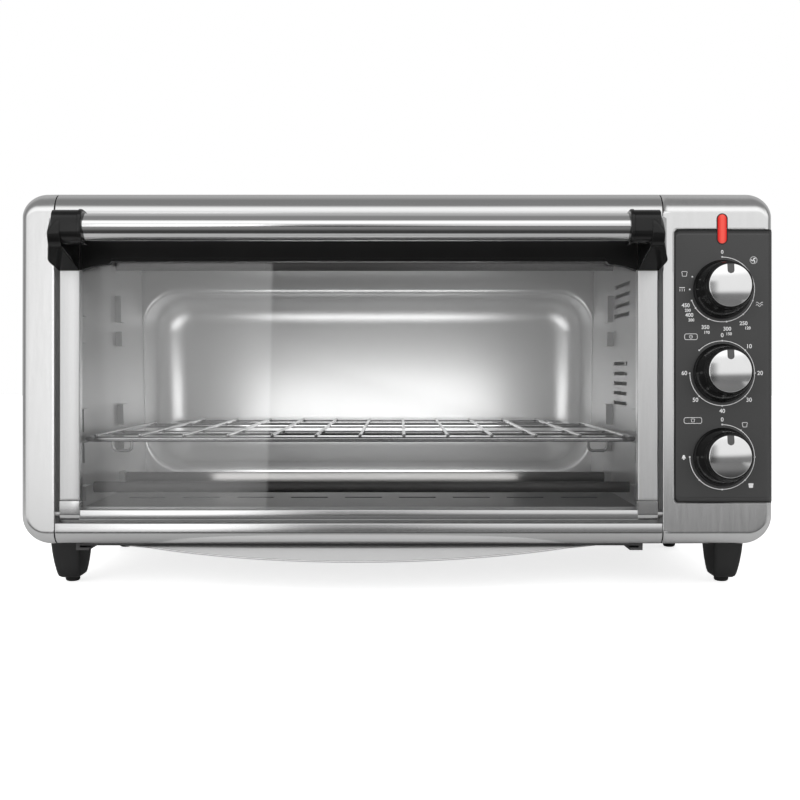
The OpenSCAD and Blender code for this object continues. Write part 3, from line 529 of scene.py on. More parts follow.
def outline(x0, drop_top, drop_side, drop_bottom, top_corner, bottom_corner):
    """Rounded outline inset from the case, from the top seam over the side to the bottom seam."""
    wide, high, low = SKIN_W - drop_side, CASE_TOP - drop_top, CASE_FLOOR + drop_bottom
    top_x, top_z = wide - top_corner, high - top_corner
    bottom_x, bottom_z = wide - bottom_corner, low + bottom_corner
    top, bottom = angles(90, 0, 26), angles(0, -90, 26)
    x = [np.linspace(x0, top_x, 12), top_x + top_corner * np.cos(top), np.full(40, wide),
         bottom_x + bottom_corner * np.cos(bottom), np.linspace(bottom_x, x0, 12)]
    z = [np.full(12, high), top_z + top_corner * np.sin(top), np.linspace(top_z, bottom_z, 40),
         bottom_z + bottom_corner * np.sin(bottom), np.full(12, low)]
    return np.concatenate(x), np.concatenate(z)


def on_skin(x, z, u):
    """Point of the case at width x, height z and depth u behind the leaning plane."""
    x, z, u = np.broadcast_arrays(x, z, u)
    return np.stack([x, FRONT_Y + z * LEAN_TAN + u / LEAN_COS, z], -1)


def bezel_shell(inner_x, side):
    """Rows of a bezel: back lip, flank, roll, flat face and the eased edge by the door.

    At angle t the roll lies 1 - sin t of the way from the outer to the face outline, at the depth
    R (1 - cos t), where R is the distance between the two outlines.
    """
    x0 = side * inner_x + EDGE_R
    lip = 1.2 * MM
    x, z = outline(x0, 0, 0, 0, TOP_CORNER, BOTTOM_CORNER)
    face_x, face_z = outline(x0, TOP_ROLL, SIDE_ROLL, BOTTOM_ROLL, FACE_TOP_CORNER, FACE_BOTTOM_CORNER)
    lip_x, lip_z = outline(x0, lip, lip, lip, TOP_CORNER - lip, BOTTOM_CORNER - lip)
    roll = np.hypot(face_x - x, face_z - z)
    rows = [on_skin(side * lip_x, lip_z, SHELL_DEPTH), on_skin(side * x, z, SHELL_DEPTH)]
    rows += [on_skin(side * x, z, u) for u in np.linspace(SHELL_DEPTH - 1 * MM, TOP_ROLL + 1 * MM, 4)]
    for t in angles(90, 0, 22):
        k = 1 - np.sin(t)
        rows.append(on_skin(side * (x + (face_x - x) * k), z + (face_z - z) * k, roll * (1 - np.cos(t))))
    tall = face_z[0] - face_z[-1]
    share = 0.5 * (face_z[0] - face_z) / tall + 0.5 * np.linspace(0, 1, len(face_x))
    edge_z = face_z[0] - tall * share
    for v in np.linspace(0.04, 1, 14):
        rows.append(on_skin(side * (face_x * (1 - v) + x0 * v), face_z * (1 - v) + edge_z * v, 0.0))
    for t in angles(15, 90, 6):
        rows.append(on_skin(side * (x0 - EDGE_R * np.sin(t)), edge_z, EDGE_R * (1 - np.cos(t))))
    rows.append(on_skin(inner_x, edge_z, RETURN_DEPTH))
    return loft(np.stack(rows), wrap=False, caps=False)


for name, inner_x, side in (("left", BEZEL_X0, -1), ("right", BEZEL_X1, 1)):
    put_piece("bezel_" + name, [bezel_shell(inner_x, side)], "oven", bezel_steel,
              [name + "_bezel"], facing=(0, -1, 0), wall=SHEET, crease=SOFT_CREASE)

# %% [markdown]
# The trims over and under the door have the same rolls but run straight between the bezels.
# Each is a profile carried along X, with its two ends eased by half a millimetre so that the
# seam against the bezel shows as a fine dark line.

# %% Trims over and under the door
head_s, sill_s = leaned_box("top_trim")[0][2], leaned_box("bottom_trim")[1][2]


def trim_shell(sign, edge, case, roll):
    """Profile (z, u) from the shelf by the door, over the flat face and the roll, back along the case.

    `sign` is 1 for the trim over the door and -1 for the one under it.
    """
    lip, gap = 1.0 * MM, 0.25 * MM
    shelf = [(edge + sign * lip * (1 - np.sin(t)), lip * (1 - np.cos(t))) for t in angles(90, 0, 6)]
    s, u = np.array([(edge, RETURN_DEPTH)] + shelf).T
    turn = angles(0, 90, 24)
    z = np.concatenate([s * LEAN_COS - u * LEAN_SIN, case - sign * roll * (1 - np.sin(turn)), [case] * 4])
    u = np.concatenate([u, roll * (1 - np.cos(turn)), np.linspace(roll + 2 * MM, SHELL_DEPTH, 4)])
    ends = np.array([0, 0.15, 0.4, 0.7, 1.0]) * EDGE_R
    between = np.linspace(BEZEL_X0 + 3 * MM, BEZEL_X1 - 3 * MM, 20)
    x = np.concatenate([BEZEL_X0 + gap + ends, between, BEZEL_X1 - gap - ends[::-1]])
    near = np.minimum(np.minimum(x - x[0], x[-1] - x), EDGE_R)
    sink = (EDGE_R - np.sqrt(EDGE_R ** 2 - (EDGE_R - near) ** 2))[:, None]
    dz, du = np.gradient(z), np.gradient(u)
    length = np.hypot(dz, du)
    inward_z, inward_u = -sign * du / length, np.abs(dz) / length
    return loft(on_skin(x[:, None], z + sink * inward_z, u + sink * inward_u), wrap=False, caps=False)


TRIMS = (("top", 1, head_s, CASE_TOP, TOP_ROLL), ("bottom", -1, sill_s, CASE_FLOOR, BOTTOM_ROLL))
for name, sign, *profile in TRIMS:
    put_piece("trim_" + name, [trim_shell(sign, *profile)], "oven", trim_steel,
              [name + "_trim"], facing=(0, -1, sign), wall=SHEET, crease=SOFT_CREASE)

# %% [markdown]
# The control panel is a painted sheet set into the right bezel; it folds round the case's side.
# A flat coordinate a runs along the sheet, and folding it gives x and u: straight, then a
# quarter circle of the side roll, then straight back. Its left corners are rounded.

# %% Control panel and its shadow line
panel_low, panel_high = leaned_box("control_panel")
FOLD_X, FOLD_LENGTH = SKIN_W - SIDE_ROLL, SIDE_ROLL * np.pi / 2


def folded(a, proud):
    """x and u of the sheet at the flat coordinate a, `proud` outside the bezel's surface."""
    turn = np.clip((a - FOLD_X) / SIDE_ROLL, 0, np.pi / 2)
    x = np.where(a < FOLD_X, a, FOLD_X + (SIDE_ROLL + proud) * np.sin(turn))
    u = np.where(a < FOLD_X, -proud, SIDE_ROLL - (SIDE_ROLL + proud) * np.cos(turn))
    return x, u + np.maximum(0, a - FOLD_X - FOLD_LENGTH)


def panel_sheet(grow, proud, corner=3 * MM, rows=60):
    """Sheet over x from the panel's left edge to the side, grown by a margin and trimmed at its corners."""
    left = panel_low[0] - grow
    a = np.concatenate([left + corner * (1 - np.cos(angles(0, 90, 10))),
                        np.linspace(left + corner + 1 * MM, FOLD_X, 24),
                        FOLD_X + SIDE_ROLL * np.linspace(0.08, np.pi / 2, 12),
                        FOLD_X + FOLD_LENGTH + np.linspace(3 * MM, 15 * MM, 3)])
    near = np.clip((a - left) / corner, 0, 1)
    trim = corner * (1 - np.sqrt(1 - (1 - near) ** 2))
    v = np.linspace(0, 1, rows)[:, None]
    low, high = panel_low[2] - grow + trim, panel_high[2] + grow - trim
    x, u = folded(a, proud)
    return loft(leaned(x, u, low + (high - low) * v), wrap=False, caps=False)


# A black sheet just larger than the panel shows round its edge: painted shadow of the gap between panel and bezel.
put_piece("panel_shadow_line", [panel_sheet(0.3 * MM, 0.10 * MM)], "oven", gasket_and_shadow_black,
          facing=(0, -1, 0), wall=0.5 * MM)
put_piece("panel_face", [panel_sheet(-0.9 * MM, 0.25 * MM)], "oven", panel_paint,
          ["control_panel"], facing=(0, -1, 0), wall=0.5 * MM)

# %% [markdown]
# The bezel's cut edge round the panel is rolled, and the light catches it as a thin bright
# line. A round bead, half sunk in the sheet, is carried along the left, upper and lower edges.

# %% Rolled edge round the panel
bead_gap, bead_r = 0.75 * MM, 0.55 * MM
bead_x, bead_low, bead_high = panel_low[0] - bead_gap, panel_low[2] - bead_gap, panel_high[2] + bead_gap
bead_path = [(FOLD_X, bead_high), (bead_x, bead_high), (bead_x, bead_low), (FOLD_X, bead_low)]
bead_path = round_corners(bead_path, 3.2 * MM, 8, closed=False)
bead = rod(leaned(bead_path[:, 0], 0.2 * MM, bead_path[:, 1]), bead_r, 10, up=(0, -1, 0))
put_piece("panel_rolled_edge", [bead], "oven", bezel_steel)

# %% [markdown]
# The indicator lens is a capsule. Its rings are rounded rectangles that shrink as they rise, so
# the dome has no flat top, and a thin black gasket ring sits round its foot.

# %% Indicator lens
lens_mid, lens_half = leaned_middle("indicator_lens")


def capsule(grow, profile, steps=12):
    """Capsule rings: each (inset, height) pair in millimetres is one ring of the lens outline."""
    inset, height = (np.array(profile) * MM).T
    half_w = np.maximum(lens_half[0] + grow - inset, 0.02 * MM)
    x, s = rounded_rings(half_w, lens_half[2] + grow - inset, half_w * 0.999, steps)
    return loft(leaned(lens_mid[0] + x, -height[:, None], lens_mid[2] + s))


DOME = [(0, -1.0), (0, 0.35), (0.12, 0.6), (0.4, 0.8), (0.9, 0.98), (1.6, 1.1), (2.4, 1.17), (3.1, 1.2)]
GASKET = [(0, -0.6), (0, 0.35), (0.2, 0.5), (0.62, 0.5), (0.72, 0.2)]
put_piece("indicator_lens_dome", [capsule(0, DOME)], "oven", lens_red, ["indicator_lens"])
put_piece("indicator_gasket", [capsule(0.75 * MM, GASKET)], "oven", gasket_and_shadow_black)

# %% [markdown]
# Each knob is turned: a black phenolic skirt that tapers through a few rings to a bright,
# slightly domed metal face. A dark pointer is let into the face at the top. The knob's own
# place comes from the model, and all its pieces ride on its control so that they turn together.

# %% Knobs
CONTROLS = ("temperature", "timer", "toast")
SKIRT = [(0, 0.3), (20.6, 0.3), (21.1, 0.6), (21.2, 1.2), (21.2, 2.2), (21.0, 2.7), (20.4, 3.0),
         (19.9, 3.3), (19.7, 3.9), (19.4, 5.5), (18.9, 8.5), (18.3, 12.0), (17.7, 15.6), (17.45, 16.4),
         (17.5, 17.0), (17.2, 17.4), (16.8, 17.9), (16.75, 18.8), (16.6, 19.8), (16.3, 20.5),
         (15.95, 20.9), (15.6, 20.95), (15.35, 20.6), (0, 20.4)]
FACE_R, DOME_H, RIM_H = 15.3, 1.45, 21.0
RIM_ROUND, RIM_FALL, FACE_FOOT, DOME_END = 0.5, 0.3, 20.3, FACE_R - 0.6
POINTER_FOOT, POINTER_HEAD, POINTER_HALF, POINTER_PROUD = 7.9, 15.05, 2.45, 0.06
knob_places = {control: leaned_middle(control + "_knob")[0] for control in CONTROLS}


def on_knob(control, x, y, h):
    """Row-frame point from millimetres across, up and out along the knob's own axis."""
    kx, _, ks = knob_places[control]
    return leaned(kx + np.asarray(x) * MM, -np.asarray(h) * MM, ks + np.asarray(y) * MM)


def dome_height(r):
    """Height of the face at radius r in millimetres: a shallow parabola with a rounded rim."""
    past_flat = np.maximum(0, np.abs(r) - FACE_R + RIM_ROUND) / RIM_ROUND
    return RIM_H + DOME_H * (1 - (r / FACE_R) ** 2) - RIM_FALL * past_flat ** 2


rim_radii = np.linspace(FACE_R - RIM_ROUND, FACE_R, 7)
face_radii = np.concatenate([[0.01], np.linspace(1, DOME_END, 14), rim_radii])
FACE = [(0.01, FACE_FOOT), (FACE_R, FACE_FOOT)] + [(r, dome_height(r)) for r in face_radii[::-1]]
across, rise = np.meshgrid(np.linspace(-1, 1, 9), np.linspace(0, 1, 12))
pointer_y = POINTER_FOOT + (POINTER_HEAD - POINTER_FOOT) * rise
round_foot = np.clip(1 - (pointer_y - POINTER_FOOT) / POINTER_HALF, 0, 1)
pointer_x = across * (POINTER_HALF * np.sqrt(1 - round_foot ** 2) + 0.01)
pointer_h = dome_height(np.hypot(pointer_x, np.minimum(pointer_y, DOME_END))) + POINTER_PROUD
for control in CONTROLS:
    body = control + "_control"
    skirt = loft(on_knob(control, *turned(SKIRT)), caps=False)
    face = loft(on_knob(control, *turned(FACE)), caps=False)
    pointer = loft(on_knob(control, pointer_x, pointer_y, pointer_h), wrap=False, caps=False)
    put_piece(control + "_knob_skirt", [skirt], body, gloss_black, [control + "_knob"],
              crease=SOFT_CREASE)
    put_piece(control + "_knob_face", [face], body, cap_chrome, [control + "_cap"],
              crease=SOFT_CREASE)
    put_piece(control + "_knob_pointer", [pointer], body, pointer_grey,
              facing=(0, -1, 0), wall=0.3 * MM)

# %% [markdown]
# The scales are printed. Ribbons, dots and numbers are very thin raised shapes on the panel:
# an arc is a ribbon round the knob's axis, measured clockwise from the top, and the numbers
# are Blender's own plain font turned into mesh. Everything is in millimetres from the axis.

# %% Shapes of the print
PRINT_H, INK = 0.30, 0.05
LETTER_INK, LETTER_SPREAD = 0.025, 0.07


def ribbon(points, width, closed=False):
    """Flat ribbon of that width along (x, y) points, as a thin closed bar."""
    p = np.asarray(points, float)
    t = (np.roll(p, -1, 0) - np.roll(p, 1, 0)) if closed else np.gradient(p, axis=0)
    t /= np.linalg.norm(t, axis=1, keepdims=True)
    left = p + np.stack([-t[:, 1], t[:, 0]], -1) * width / 2
    right = 2 * p - left
    low, high = np.zeros(len(p)), np.full(len(p), INK)
    ring = np.stack([np.c_[left, low], np.c_[left, high], np.c_[right, high], np.c_[right, low]], 1)
    if closed:
        ring = np.concatenate([ring, ring[:1]])
    return ring, not closed


def filled(points):
    """Filled shape: its outline on the panel and again an ink's thickness above."""
    low, high = np.zeros(len(points)), np.full(len(points), INK)
    return np.stack([np.c_[points, low], np.c_[points, high]]), True


def around(radius, angle):
    """x and y at an angle clockwise from the top."""
    return radius * math.sin(math.radians(angle)), radius * math.cos(math.radians(angle))


def arc_points(radius, start, end, cx=0.0, cy=0.0, count=64):
    """Points of an arc, degrees clockwise from the top."""
    a = angles(start, end, count)
    return np.c_[cx + radius * np.sin(a), cy + radius * np.cos(a)]


def circle(radius, cx, cy, count):
    """Points of a full circle."""
    return arc_points(radius, 0, 360, cx, cy, count + 1)[:-1]


def dot(radius, cx, cy):
    """A printed dot."""
    return filled(circle(radius, cx, cy, 16))


def slice_icon(cx, cy, size):
    """Outline of a slice of bread."""
    half = np.array([(1, -1), (1, 0.35), (1.25, 0.6), (1.1, 1.1)])
    whole = np.concatenate([[(-1, -1)], half, half[:0:-1] * (-1, 1)])
    return round_corners(whole * size / 2.2, size * 0.18, 4) + (cx, cy)


def printed(name, control, drawn):
    """Puts drawn shapes on the panel as one piece."""
    shells = [loft(on_knob(control, ring[..., 0], ring[..., 1], PRINT_H + ring[..., 2]), caps=caps)
              for ring, caps in drawn]
    return put_piece(name, shells, "oven", mark_white)


def lettering(name, control, words):
    """Numbers (text, size, x, y) as one raised mesh."""
    points, faces, base = [], [], 0
    for text, size, x, y in words:
        curve = bpy.data.curves.new(name, "FONT")
        curve.body, curve.size, curve.extrude, curve.offset = text, size, LETTER_INK, LETTER_SPREAD
        curve.align_x, curve.align_y = "CENTER", "CENTER"
        holder = bpy.data.objects.new(name + "_text", curve)
        bpy.context.scene.collection.objects.link(holder)
        bpy.context.view_layer.update()
        made = holder.evaluated_get(bpy.context.evaluated_depsgraph_get()).to_mesh()
        co = np.zeros(len(made.vertices) * 3)
        made.vertices.foreach_get("co", co)
        co = co.reshape(-1, 3)
        points.append(on_knob(control, co[:, 0] + x, co[:, 1] + y, PRINT_H + co[:, 2] + LETTER_INK))
        faces += [[i + base for i in p.vertices] for p in made.polygons]
        base += len(co)
        bpy.data.objects.remove(holder)
        bpy.data.curves.remove(curve)
    return put_piece(name, [(np.concatenate(points), faces)], "oven", mark_white)


# %% [markdown]
# The small icons: a fan, a slice, a grill and a warm-air wave round the upper knob, a window
# with a clock or a slice in it above the lower two, and a pale slice, a dark slice and a bell
# round the last.

# %% Printed scales
SCALE_R, SCALE_LINE, DOT_R = 23.4, 0.46, 0.62
FINE, THIN = 0.30, 0.35
TICKS = {"temperature": [0, 110, 140, 172, 205, 235, 250, 270, 293],
         "timer": [-45, 0, 45, 90, 135, 180, 225, 270], "toast": [0, 35, 90, 135, 180, 225, 270]}
ARCS = {"temperature": (0, 250), "timer": (-45, 270), "toast": (0, 270)}

fan_x, fan_y = around(31.0, 47)
oven_icons = [ribbon(circle(2.5, fan_x, fan_y, 32), FINE, True)]
for turn in (0, 120, 240):
    tip = math.radians(turn) + 0.8
    blade = [(fan_x, fan_y), np.add((fan_x, fan_y), around(1.1, turn)),
             (fan_x + 1.9 * math.sin(tip), fan_y + 1.9 * math.cos(tip))]
    oven_icons.append(ribbon(round_corners(blade, 0.6, 5, False), 0.7))
slice_x, slice_y = around(28.6, 293)
oven_icons.append(ribbon(slice_icon(slice_x - 1, slice_y, 3.6), THIN, True))
grill_x, grill_y = around(28.8, 270)
oven_icons.append(ribbon([(grill_x - 2.2, grill_y + 1.3), (grill_x + 1.8, grill_y + 1.3)], 0.5))
for bar_x in grill_x + np.array([-1.8, -0.2, 1.4]):
    oven_icons.append(ribbon([(bar_x, grill_y + 0.4), (bar_x, grill_y - 1.4)], THIN))
wave_x, wave_y = around(28.5, 112)
wave = np.c_[wave_x - 2 + np.linspace(0, 5, 24), wave_y + 0.7 * np.sin(np.linspace(0, 9, 24))]
oven_icons += [ribbon(wave + (0, lift), THIN) for lift in (0.8, -0.9)]

BOX = np.array([(-1, -1), (1, -1), (1, 1), (-1, 1)])
window_x, window_y = -22.6, 26.4
timer_window = round_corners(BOX * (4.6, 2.1) + (window_x, window_y), 1.5, 6)
toast_window = round_corners(BOX * (6.4, 2.1) + (window_x + 1.4, window_y), 1.5, 6)
clock_hands = [(window_x, window_y + 0.7), (window_x, window_y), (window_x + 0.6, window_y - 0.3)]
timer_icons = [ribbon(timer_window, THIN, True), ribbon(circle(1.15, window_x, window_y, 24), FINE, True),
               ribbon(clock_hands, 0.26)]
bell_x, bell_y = around(27.8, 270)
bell = [(-1.7, -1.1), (1.7, -1.1), (1.1, -0.2), (0.8, 1.1), (0, 1.6), (-0.8, 1.1), (-1.1, -0.2)]
bell = round_corners(bell, 0.4, 4) + (bell_x, bell_y)
toast_icons = [ribbon(toast_window, THIN, True),
               ribbon(slice_icon(window_x + 1.4, window_y, 2.3), FINE, True),
               ribbon(slice_icon(*around(28.4, 35), 3.4), THIN, True),
               filled(slice_icon(*around(29.3, 135), 3.4)), filled(bell), dot(0.5, bell_x, bell_y - 1.6)]
for control, icons in zip(CONTROLS, (oven_icons, timer_icons, toast_icons)):
    drawn = [ribbon(arc_points(SCALE_R, *ARCS[control], count=120), SCALE_LINE)]
    drawn += [dot(DOT_R, *around(SCALE_R + 0.1, tick)) for tick in TICKS[control]]
    printed(control + "_scale", control, drawn + icons)

OUTER_TEXT, INNER_TEXT = 3.9, 2.9
OUTER_SCALE = [("250", 15.4, -24.6), ("300", 3.6, -28.6), ("350", -12.2, -27.4), ("400", -23.8, -18.6),
               ("450", -26.4, -11.6)]
INNER_SCALE = [("120", 18.4, -28.0), ("150", 4.8, -32.2), ("180", -11.2, -31.2), ("200", -22.4, -22.2),
               ("230", -24.9, -15.2)]
temperature_words = [("0", 3.7, *around(27.0, 0))]
temperature_words += [(text, OUTER_TEXT, x, y) for text, x, y in OUTER_SCALE]
temperature_words += [(text, INNER_TEXT, x, y) for text, x, y in INNER_SCALE]
timer_words = [(str(10 * step), 4.2, *around(27.4, 45 * step)) for step in range(7)]
lettering("temperature_numbers", "temperature", temperature_words)
lettering("timer_numbers", "timer", timer_words)
lettering("toast_numbers", "toast", [("0", 4.2, *around(27.0, 0))])

# %% [markdown]
# The door's side strips are folded steel: a flat brushed face with eased edges. A rounded
# profile carried up the leaning front does it, and the rows near the two ends draw in. The sill
# under the glass is two such bars, with a short profiled end piece below each strip.

# %% Door strips and bottom rail
def bar_along(axis, low, high, ease, rows=3):
    """Long bar between two corners (x, u, s): a rounded rectangle carried along x or s with eased ends."""
    low, high = np.array(low), np.array(high)
    k = {"x": 0, "s": 2}[axis]
    i, j = [n for n in (0, 1, 2) if n != k]
    mid, half = (low + high) / 2, (high - low) / 2
    t = angles(0, 90, 6)
    draw = np.concatenate([ease * (1 - np.sin(t)), np.zeros(rows), ease * (1 - np.sin(t[::-1]))])
    along = np.concatenate([low[k] + ease * (1 - np.cos(t)),
                            np.linspace(low[k] + 2 * ease, high[k] - 2 * ease, rows),
                            high[k] - ease * (1 - np.cos(t[::-1]))])
    corner = np.maximum(ease - draw, 0.01 * MM) + 0.05 * MM
    p, q = rounded_rings(half[i] - draw, half[j] - draw, corner, 5)
    place = [None, None, None]
    place[i], place[j], place[k] = mid[i] + p, mid[j] + q, along[:, None]
    return loft(leaned(*place))


for side in ("left", "right"):
    node = f"door_{side}_strip"
    strip = bar_along("s", *leaned_box(node), 0.9 * MM, 30)
    put_piece("door_strip_" + side, [strip], "door", strip_steel, [node])

sill_low = leaned_box("door_bottom_rail")[0][2]
sill_x0, sill_x1 = DOOR_X0 + STRIP_W - 1 * MM, DOOR_X1 - STRIP_W + 1 * MM
SILL_BARS = [(0.8 * MM, 2.6 * MM, 7.4 * MM), (2.0 * MM, 8.8 * MM, 2.4 * MM)]
channel = [bar_along("x", (sill_x0, u0, sill_low), (sill_x1, u1, sill_low + tall), 0.7 * MM, 20)
           for u0, u1, tall in SILL_BARS]
end_r, end_s, end_top = 4.5 * MM, 57 * MM, 66.2 * MM
turn = angles(180, 360, 17)
end_profile = np.stack([end_r + end_r * np.cos(turn), end_s + end_r * np.sin(turn)], -1)
end_profile = np.concatenate([end_profile, [(2 * end_r, end_top), (0, end_top)]])
end_middle = end_profile.mean(0)
end_shrink = 1 - np.array([1, 0.15, 0, 0, 0.15, 1])[:, None, None] * EDGE_R / (6 * MM)
end_rings = end_middle + (end_profile - end_middle) * end_shrink
end_eased = np.array([0, 0.3, 1]) * EDGE_R
end_along = np.concatenate([end_eased, STRIP_W - end_eased[::-1]])[:, None]
for x0 in (DOOR_X0, DOOR_X1 - STRIP_W):
    channel.append(loft(leaned(x0 + end_along, end_rings[..., 0], end_rings[..., 1])))
put_piece("door_sill_channel", channel, "door", trim_steel, ["door_bottom_rail"])

# %% [markdown]
# The glass is a flat pane with ground, eased edges. Real transmission needs a closed slab, so
# it has a front, a back and four rounded edges.

# %% Door glass
pane_mid, pane_half = leaned_middle("door_glass")
t = angles(0, 180, 9)
pane_inset, pane_u = 0.8 * MM * (1 - np.sin(t)), pane_mid[1] - pane_half[1] * np.cos(t)
px, ps = rounded_rings(pane_half[0] - pane_inset, pane_half[2] - pane_inset, 3 * MM, 6)
pane = loft(leaned(pane_mid[0] + px, pane_u[:, None], pane_mid[2] + ps))
put_piece("door_pane", [pane], "door", glass, ["door_glass"], crease=15)

# %% [markdown]
# The black top rail covers the glass's upper edge. It is one outline, stepped down towards the
# handle brackets, pulled to its thickness with eased edges, and a slim lip runs along its foot.

# %% Door top rail
rail_half = (DOOR_X1 - DOOR_X0) / 2 - STRIP_W
rail_foot = DOOR_TOP - 28 * MM
half_rail = [(rail_half, DOOR_TOP), (rail_half, rail_foot - 6.6 * MM),
             (rail_half - 8 * MM, rail_foot - 3.6 * MM), (rail_half - 20.5 * MM, rail_foot - 2.0 * MM),
             (rail_half - 22.4 * MM, rail_foot)]
shape = round_corners(half_rail + [(-x, s) for x, s in half_rail[::-1]], 0.6 * MM, 3)
plate = np.stack([leaned(DOOR_X + shape[:, 0], u, shape[:, 1]) for u in (1.0 * MM, 8.9 * MM)])
lip_half = rail_half - 23 * MM
lip = bar_along("x", (DOOR_X - lip_half, 0.3 * MM, rail_foot - 0.1 * MM),
                (DOOR_X + lip_half, 2.2 * MM, rail_foot + 2.3 * MM), 0.8 * MM, 12)
put_piece("door_top_cover", [loft(plate)], "door", rail_black, ["door_top_rail"],
          bevel=0.5 * MM, crease=30)
put_piece("door_top_lip", [lip], "door", rail_black)

# %% [markdown]
# The handle is a bright tube held in two moulded brackets. The tube is a turned surface whose
# ends disappear in the brackets' sleeves.

# %% Handle tube
tube_mid, tube_half = leaned_middle("handle_tube")
_, tube_u, tube_s = tube_mid
tube_r, tube_ease = tube_half[2], 0.8 * MM
around_tube = np.linspace(0, 2 * np.pi, 128, endpoint=False)[None, :]
t = angles(0, 90, 5)
end_x = tube_half[0] - tube_ease * (1 - np.cos(t))
x = np.concatenate([-end_x, np.linspace(2 * MM - tube_half[0], tube_half[0] - 2 * MM, 30), end_x[::-1]])
rim_r = tube_r - tube_ease * (1 - np.sin(t))
r = np.concatenate([rim_r, np.full(30, tube_r), rim_r[::-1]])[:, None]
tube = leaned(tube_mid[0] + x[:, None], tube_u + r * np.sin(around_tube), tube_s + r * np.cos(around_tube))
put_piece("handle_bar", [loft(tube)], "door", tube_chrome, ["handle_tube"])

# %% [markdown]
# A bracket is an arm with a sleeve. The arm's side view is one rounded outline of evenly spaced
# points, carried across the strip's width. It narrows towards its nose, swells a little behind
# the tube, and a slanting plane with a soft edge cuts its outer upper corner. The sleeve is a
# squared-off barrel round the tube.

# %% Handle brackets
ARM_FOOT, ARM_POINTS, ARM_EDGE = 232.7 * MM, 140, 0.8 * MM
NOSE_U, NOSE_NARROWS = 44 * MM, 0.40
SWELL, SWELL_U, SWELL_WIDTH = 0.19, -17 * MM, 10 * MM
CUT_X, CUT_S, CUT_SLOPE, CUT_DEPTH, CUT_SOFT = 16.6 * MM, 9 * MM, (0.816, 0.579), 1.1, 0.7 * MM
SLEEVE_X = np.array([0, 0, 0.3, 1.0, 2.2, 2.6]) * MM
SLEEVE_R = np.array([9.5, 10.9, 11.35, 11.5, 11.5, 11.0, 11.0]) * MM
door_half = (DOOR_X1 - DOOR_X0) / 2
arm_x = door_half - STRIP_W
arm_nose = leaned_box("handle_right_bracket")[0][1]
arm = [(0, ARM_FOOT), (tube_u - 8 * MM, tube_s - 14 * MM), (arm_nose, tube_s - 8 * MM),
       (arm_nose, tube_s + 5 * MM), (tube_u - 4 * MM, tube_s + 12.2 * MM), (0, DOOR_TOP - 1 * MM)]
arm = round_corners(arm, np.array([1, 5, 5, 7, 7, 1]) * MM, 7)
steps = np.linalg.norm(np.diff(np.concatenate([arm, arm[:1]]), axis=0), axis=1)
gone = np.concatenate([[0], np.cumsum(steps)])
marks = np.linspace(0, gone[-1], ARM_POINTS + 1)[:-1]
arm = np.stack([np.interp(marks, gone, np.append(arm[:, k], arm[0, k])) for k in (0, 1)], -1)


def bracket_arm(side):
    """The arm's outline, repeated in rings from the strip's inner edge to its outer edge."""
    edge = np.array([0.0, 0.25, 0.8]) * MM
    between = np.linspace(arm_x + 1.3 * MM, door_half - 1.3 * MM, 24)
    across = np.concatenate([arm_x + edge, between, door_half - edge[::-1]])
    near = np.minimum(across - arm_x, door_half - across)
    pull = ARM_EDGE * (1 - np.sqrt(1 - np.clip(1 - near / ARM_EDGE, 0, 1) ** 2))
    away = arm - np.array([tube_u, tube_s - 2 * MM])
    away /= np.linalg.norm(away, axis=1, keepdims=True)
    away *= np.clip(-arm[:, :1] / (20 * MM), 0, 1)
    rings = arm[None] - away[None] * pull[:, None, None]
    u, s = rings[..., 0], rings[..., 1]
    forward = np.clip(-u / NOSE_U, 0, 1)
    swell = SWELL * np.exp(-((u - SWELL_U) / SWELL_WIDTH) ** 2)
    x = arm_x + (across[:, None] - arm_x) * (1 - NOSE_NARROWS * forward ** 3.5 + swell)
    past = CUT_SLOPE[0] * (x - door_half + CUT_X) + CUT_SLOPE[1] * (s - tube_s - CUT_S)
    past = (past + np.sqrt(past ** 2 + CUT_SOFT ** 2)) / 2
    u = np.minimum(u + past * CUT_DEPTH * np.clip((forward - 0.35) / 0.3, 0, 1), np.maximum(u, -12 * MM))
    return loft(leaned(DOOR_X + side * x, u, s))


def bracket_sleeve(side):
    """The barrel round the tube, from its open end to inside the arm."""
    x = np.append(door_half - 29 * MM + SLEEVE_X, arm_x + 6 * MM)[:, None]
    p, q = rounded_rings(SLEEVE_R, SLEEVE_R, SLEEVE_R * 0.62, 8)
    return loft(leaned(DOOR_X + side * x, tube_u + p, tube_s + q))


for side, name in ((-1, "left"), (1, "right")):
    put_piece("handle_end_" + name, [bracket_arm(side), bracket_sleeve(side)], "door",
              bracket_black, [f"handle_{name}_bracket"], crease=SOFT_CREASE)

# %% [markdown]
# The back wall of the cavity is pressed out into a deep bulge with soft corners. Rings of
# rounded rectangles walk from the wall's edge, round the bulge's mouth, down its sides and
# round its far edge.

# %% Pressed back of the cavity
back_low, back_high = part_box("cavity_back")
back_x, back_half = (back_high[0] + back_low[0]) / 2, (back_high[0] - back_low[0]) / 2 - 1 * MM
roof_z, floor_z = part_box("cavity_roof")[0][2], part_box("cavity_floor")[1][2]
wall_y, deep_y = FRONT_Y + 250 * MM, back_high[1] - 1 * MM
mouth, far = 5 * MM, 25 * MM
bulge_z, bulge_w, bulge_h, bulge_corner = 150.1 * MM, 208 * MM, 80.7 * MM, 32 * MM
t = angles(0, 90, 9)
out_of_mouth, into_far = 1 - np.sin(t), 1 - np.cos(t)
half_w = np.concatenate([[back_half, back_half - 0.3 * MM], bulge_w + 1 * MM * out_of_mouth,
                         bulge_w - far * into_far])
half_h = np.concatenate([[(roof_z - floor_z) / 2, bulge_h + 7 * MM], bulge_h + mouth * out_of_mouth,
                         bulge_h - far * into_far])
centre_z = np.concatenate([[(roof_z + floor_z) / 2], np.full(19, bulge_z)])[:, None]
